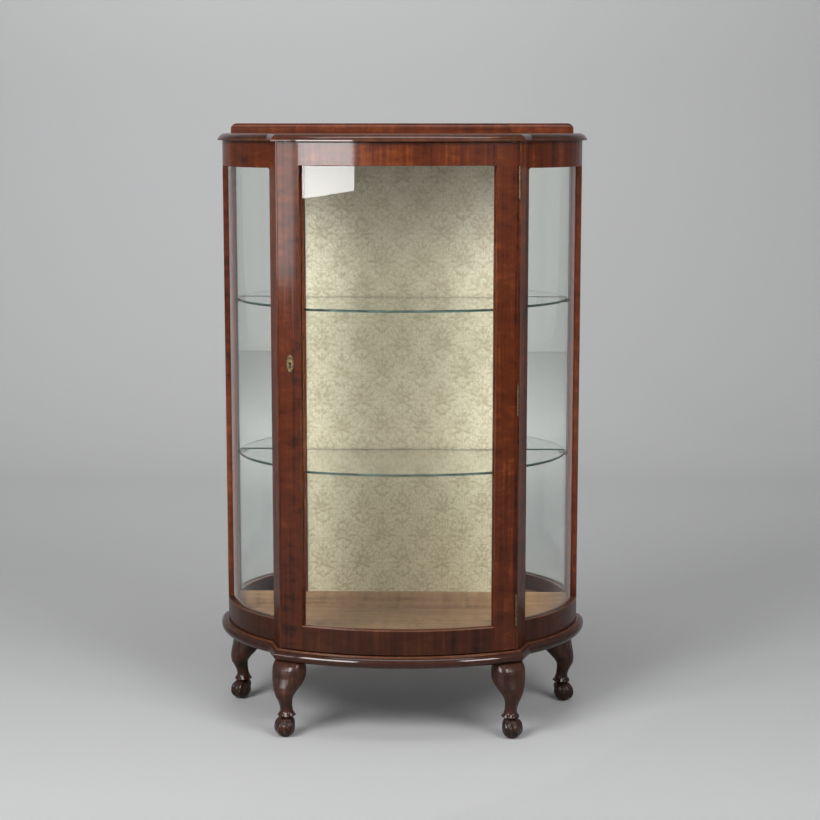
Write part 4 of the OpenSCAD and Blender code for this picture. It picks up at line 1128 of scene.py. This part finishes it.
# Rings from the keyhole to the key plate's edge: share of the way, height in mm, beading
KEY_PLATE = [(0.0, 0.0, 0), (0.0, 0.9, 0), (0.06, 1.15, 0), (0.14, 1.05, 0), (0.34, 0.85, 0),
             (0.56, 0.80, 0), (0.66, 1.15, 0), (0.74, 1.45, 0.4), (0.84, 1.6, 1.0), (0.93, 1.3, 1.0),
             (1.0, 0.6, 1.0), (1.0, 0.0, 1.0)]
KEY_PLATE_HALF = (8.5, 18.5)
KEYHOLE_R, KEYHOLE_SLOT, KEYHOLE_DROP = 2.5, 1.15, 8.0
RIM_BEADS = 20


def escutcheon_mesh():
    """A cast oval key plate with a beaded rim and a keyhole."""
    n = 120
    spokes = []
    for i in range(n):
        a = math.tau * i / n
        x, z = math.sin(a), -math.cos(a)
        r = KEYHOLE_R
        if abs(x) < 0.45 and z < 0:
            r = min(KEYHOLE_DROP, KEYHOLE_SLOT / max(abs(x), KEYHOLE_SLOT / KEYHOLE_DROP))
        spokes.append((x, z, r, 0.5 - 0.5 * math.cos(a * RIM_BEADS)))
    w, h = KEY_PLATE_HALF
    rings = []
    for share, depth, beading in KEY_PLATE:
        ring = []
        for x, z, r, wave in spokes:
            bead = 1 - 0.05 * beading * wave
            lift = depth - (0.35 * beading * wave if depth > 0.7 else 0)
            ring.append(((r * x + (x * w * bead - r * x) * share) * MM, -lift * MM,
                         (r * z + (z * h * bead - r * z) * share) * MM))
        rings.append(ring)
    return placed(loft(rings, loop=True), at_bow(-A_KEYHOLE, LOCK_Z))


def keyhole_shadow():
    """A lining inside the keyhole, so no light shows through the door; its near-black colour is painted
    shade.
    """
    mesh = lathe([(0, 7.4), (2.75, 7.4), (2.75, 7.0), (0, 7.0)], 24)
    turned = at_bow(-A_KEYHOLE, LOCK_Z) @ Matrix.Rotation(math.radians(-90), 4, "X")
    make("keyhole_lining", placed(mesh, turned), (KEYHOLE_SHADE,), None, across_grain, "door")


# ---- Inside and back ----

def inside():
    top_pair = (MAHOGANY_TOP, MAHOGANY_WORN)
    for node, woods, grain, slot, bevel in (
            ("floor_board", [FLOOR_WOOD] * 2, across_grain, "floor_wood", 0.5),
            ("base_board", [DARK_WOOD] * 2, across_grain, "dark_wood", 0),
            ("top_board", top_pair, across_grain, "mahogany", 0),
            ("top_rail_front", [DARK_WOOD] * 2, bow_grain, "dark_wood", 0.6),
            ("back_top_rail", [DARK_WOOD] * 2, across_grain, "dark_wood", 0.6),
            ("back_skirting", [FLOOR_WOOD] * 2, across_grain, "floor_wood", 0.8),
            ("back_panel", [PLYWOOD] * 2, up_grain, "plywood", 0.4)):
        carry(node, woods, grain, slot, bevel=bevel)
    for label in ("left", "right"):
        carry(f"mirror_{label}", (MIRROR, MIRROR), None, "mirror", bevel=0.4)
        node = f"lining_bead_{label}"
        lo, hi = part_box(node)
        section, worn = rounded([(lo.x, hi.y, 0), (hi.x, hi.y, 0), (hi.x, lo.y, 4.2), (lo.x, lo.y, 4.2)], 8)
        rings = [[(x, y, z) for x, y in section] for z in spread(lo.z, hi.z, 6)]
        make(node + "_rounded", loft(rings, worn=worn), MAHOGANY_PAIR, node, up_grain)
    carry("lining_panel", (DAMASK, DAMASK), None, "damask", bevel=0.4)


def shelves():
    for node in ("lower_shelf", "upper_shelf"):
        mesh = refine(node, bevel=0.5, shortest=0.5)
        for p in mesh.polygons:
            p.material_index = int(abs(p.normal.z) <= 0.9)
        make(node + "_glass", mesh, (PANE, GLASS_EDGE), node, smooth=30)


def shelf_studs():
    """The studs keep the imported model's own mesh."""
    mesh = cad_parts["shelf_studs"].data
    mesh.materials.clear()
    mesh.materials.append(BRASS)


# ---- Stage ----

def paper_tone(value):
    return (value, value + 0.002, value + 0.006, 1)


def stage_material():
    m, t = new_material("studio_paper")
    v = object_place(t)
    y = split(t, v)["Y"]
    # Painted light and shade: the paper is lighter towards the wall, darker from about a metre in front of
    # the cabinet, and lighter again far in front
    tone = blend(t, step(t, y, -0.2, 2.6), paper_tone(0.44), paper_tone(0.50))
    tone = blend(t, step(t, y, -0.5, -0.9), tone, (0.36, 0.362, 0.365, 1))
    tone = blend(t, step(t, y, -1.7, -3.6), tone, paper_tone(0.75))
    cloud = scaled(t, noise(t, v, 0.5, 2, 0.5), 0.02, 0.0)
    principled(t, Base_Color=blend(t, cloud, tone, (0.62, 0.62, 0.62, 1)), Roughness=0.85,
               Specular_IOR_Level=0.2)
    return m


def stage():
    """A paper sweep: floor, a wide bend and a wall."""
    near, reach, bend, height, wide, strips = -6.0, 2.6, 1.4, 4.6, 7.0, 8
    line = [(near, 0.0), (-2.0, 0.0), (0.0, 0.0), (reach - 0.6, 0.0)]
    line += [(reach + bend * math.sin(w), bend - bend * math.cos(w)) for w in spread(0, math.pi / 2, 24)]
    line += [(reach + bend, height)]
    verts = [(x, y, z) for y, z in line for x in spread(-wide, wide, strips)]
    row = strips + 1
    faces = [(a, a + 1, a + row + 1, a + row) for i in range(len(line) - 1)
             for a in range(i * row, i * row + strips)]
    mesh = bpy.data.meshes.new("paper_sweep")
    mesh.from_pydata(verts, [], faces)
    for p in mesh.polygons:
        p.use_smooth = True
    mesh.materials.append(stage_material())
    new_object("paper_sweep", mesh)


def area_light(name, where, towards, size, radiance, use, colour=(1, 1, 1), roll=0.0):
    """A soft box that lights ("key"), shows in polish ("shine") or shows in the mirrors ("card")."""
    lamp = bpy.data.lights.new(name, "AREA")
    lamp.shape = "RECTANGLE"
    lamp.size, lamp.size_y = size
    lamp.energy = radiance * math.pi * size[0] * size[1]
    lamp.color = colour
    thing = new_object(name, lamp)
    thing.location = where
    aim = Vector(towards) - Vector(where)
    turned = aim.to_track_quat("-Z", "Y").to_matrix().to_4x4() @ Matrix.Rotation(roll, 4, "Z")
    thing.rotation_euler = turned.to_euler()
    thing.visible_camera = False
    thing.visible_diffuse = use != "shine"
    thing.visible_glossy = use == "shine"
    thing.visible_transmission = use == "card"


def lights():
    area_light("softbox_left", (-1.902, -2.76, 1.68), (0, 0, 0.9), (1.6, 1.5), 26.0, "shine", roll=0.02)
    area_light("softbox_left_wing", (-2.80, -1.84, 0.95), (0, 0, 0.9), (0.8, 0.6), 8.5, "shine")
    area_light("softbox_right", (2.15, -2.75, 2.15), (0, 0, 0.8), (1.1, 1.2), 25.0, "shine")
    area_light("softbox_top", (0.0, -0.6, 3.1), (0, 0, 0.4), (2.4, 0.8), 5.5, "shine")
    area_light("key_left", (-1.9, -2.3, 2.6), (0, 0, 0.6), (1.6, 1.2), 18.0, "key")
    area_light("key_right", (2.0, -2.2, 2.6), (0, 0, 0.6), (1.6, 1.2), 11.0, "key")
    area_light("key_top", (0.0, -0.6, 3.1), (0, 0, 0.4), (2.4, 0.8), 4.0, "key")
    area_light("backdrop_wash", (-0.8, 1.2, 3.6), (-0.3, 4.2, 3.1), (3.0, 0.8), 10.0, "key")
    area_light("floor_wash", (0, -4.7, 2.6), (0, -4.85, 0), (5.0, 2.6), 1.9, "key")
    area_light("card", (-0.1, -6.02, 1.25), (-0.1, 0, 1.25), (3.0, 2.5), 0.42, "card", (1, 0.995, 0.98))


def studio_world():
    """Dim grey light, which looks brighter to the camera, in polish and through glass."""
    world = bpy.data.worlds.new("studio")
    bpy.context.scene.world = world
    world.use_nodes = True
    t = world.node_tree
    t.nodes.clear()
    path = add(t, "LightPath").outputs
    seen = calc(t, "MAXIMUM", path["Is Camera Ray"],
                calc(t, "MAXIMUM", path["Is Glossy Ray"], path["Is Transmission Ray"]))
    grey = blend(t, seen, (0.150, 0.152, 0.155, 1), (0.38, 0.382, 0.386, 1))
    back = add(t, "Background", Color=grey, Strength=1.0)
    add(t, "OutputWorld", Surface=back.outputs[0])
    bpy.context.scene.view_settings.view_transform = "Standard"


for build in (door_frame, door_glazing, side_frames, mouldings, gallery, legs, fasteners, hinges_and_lock,
              keyhole_shadow, inside, shelves, shelf_studs, stage, lights, studio_world):
    build()
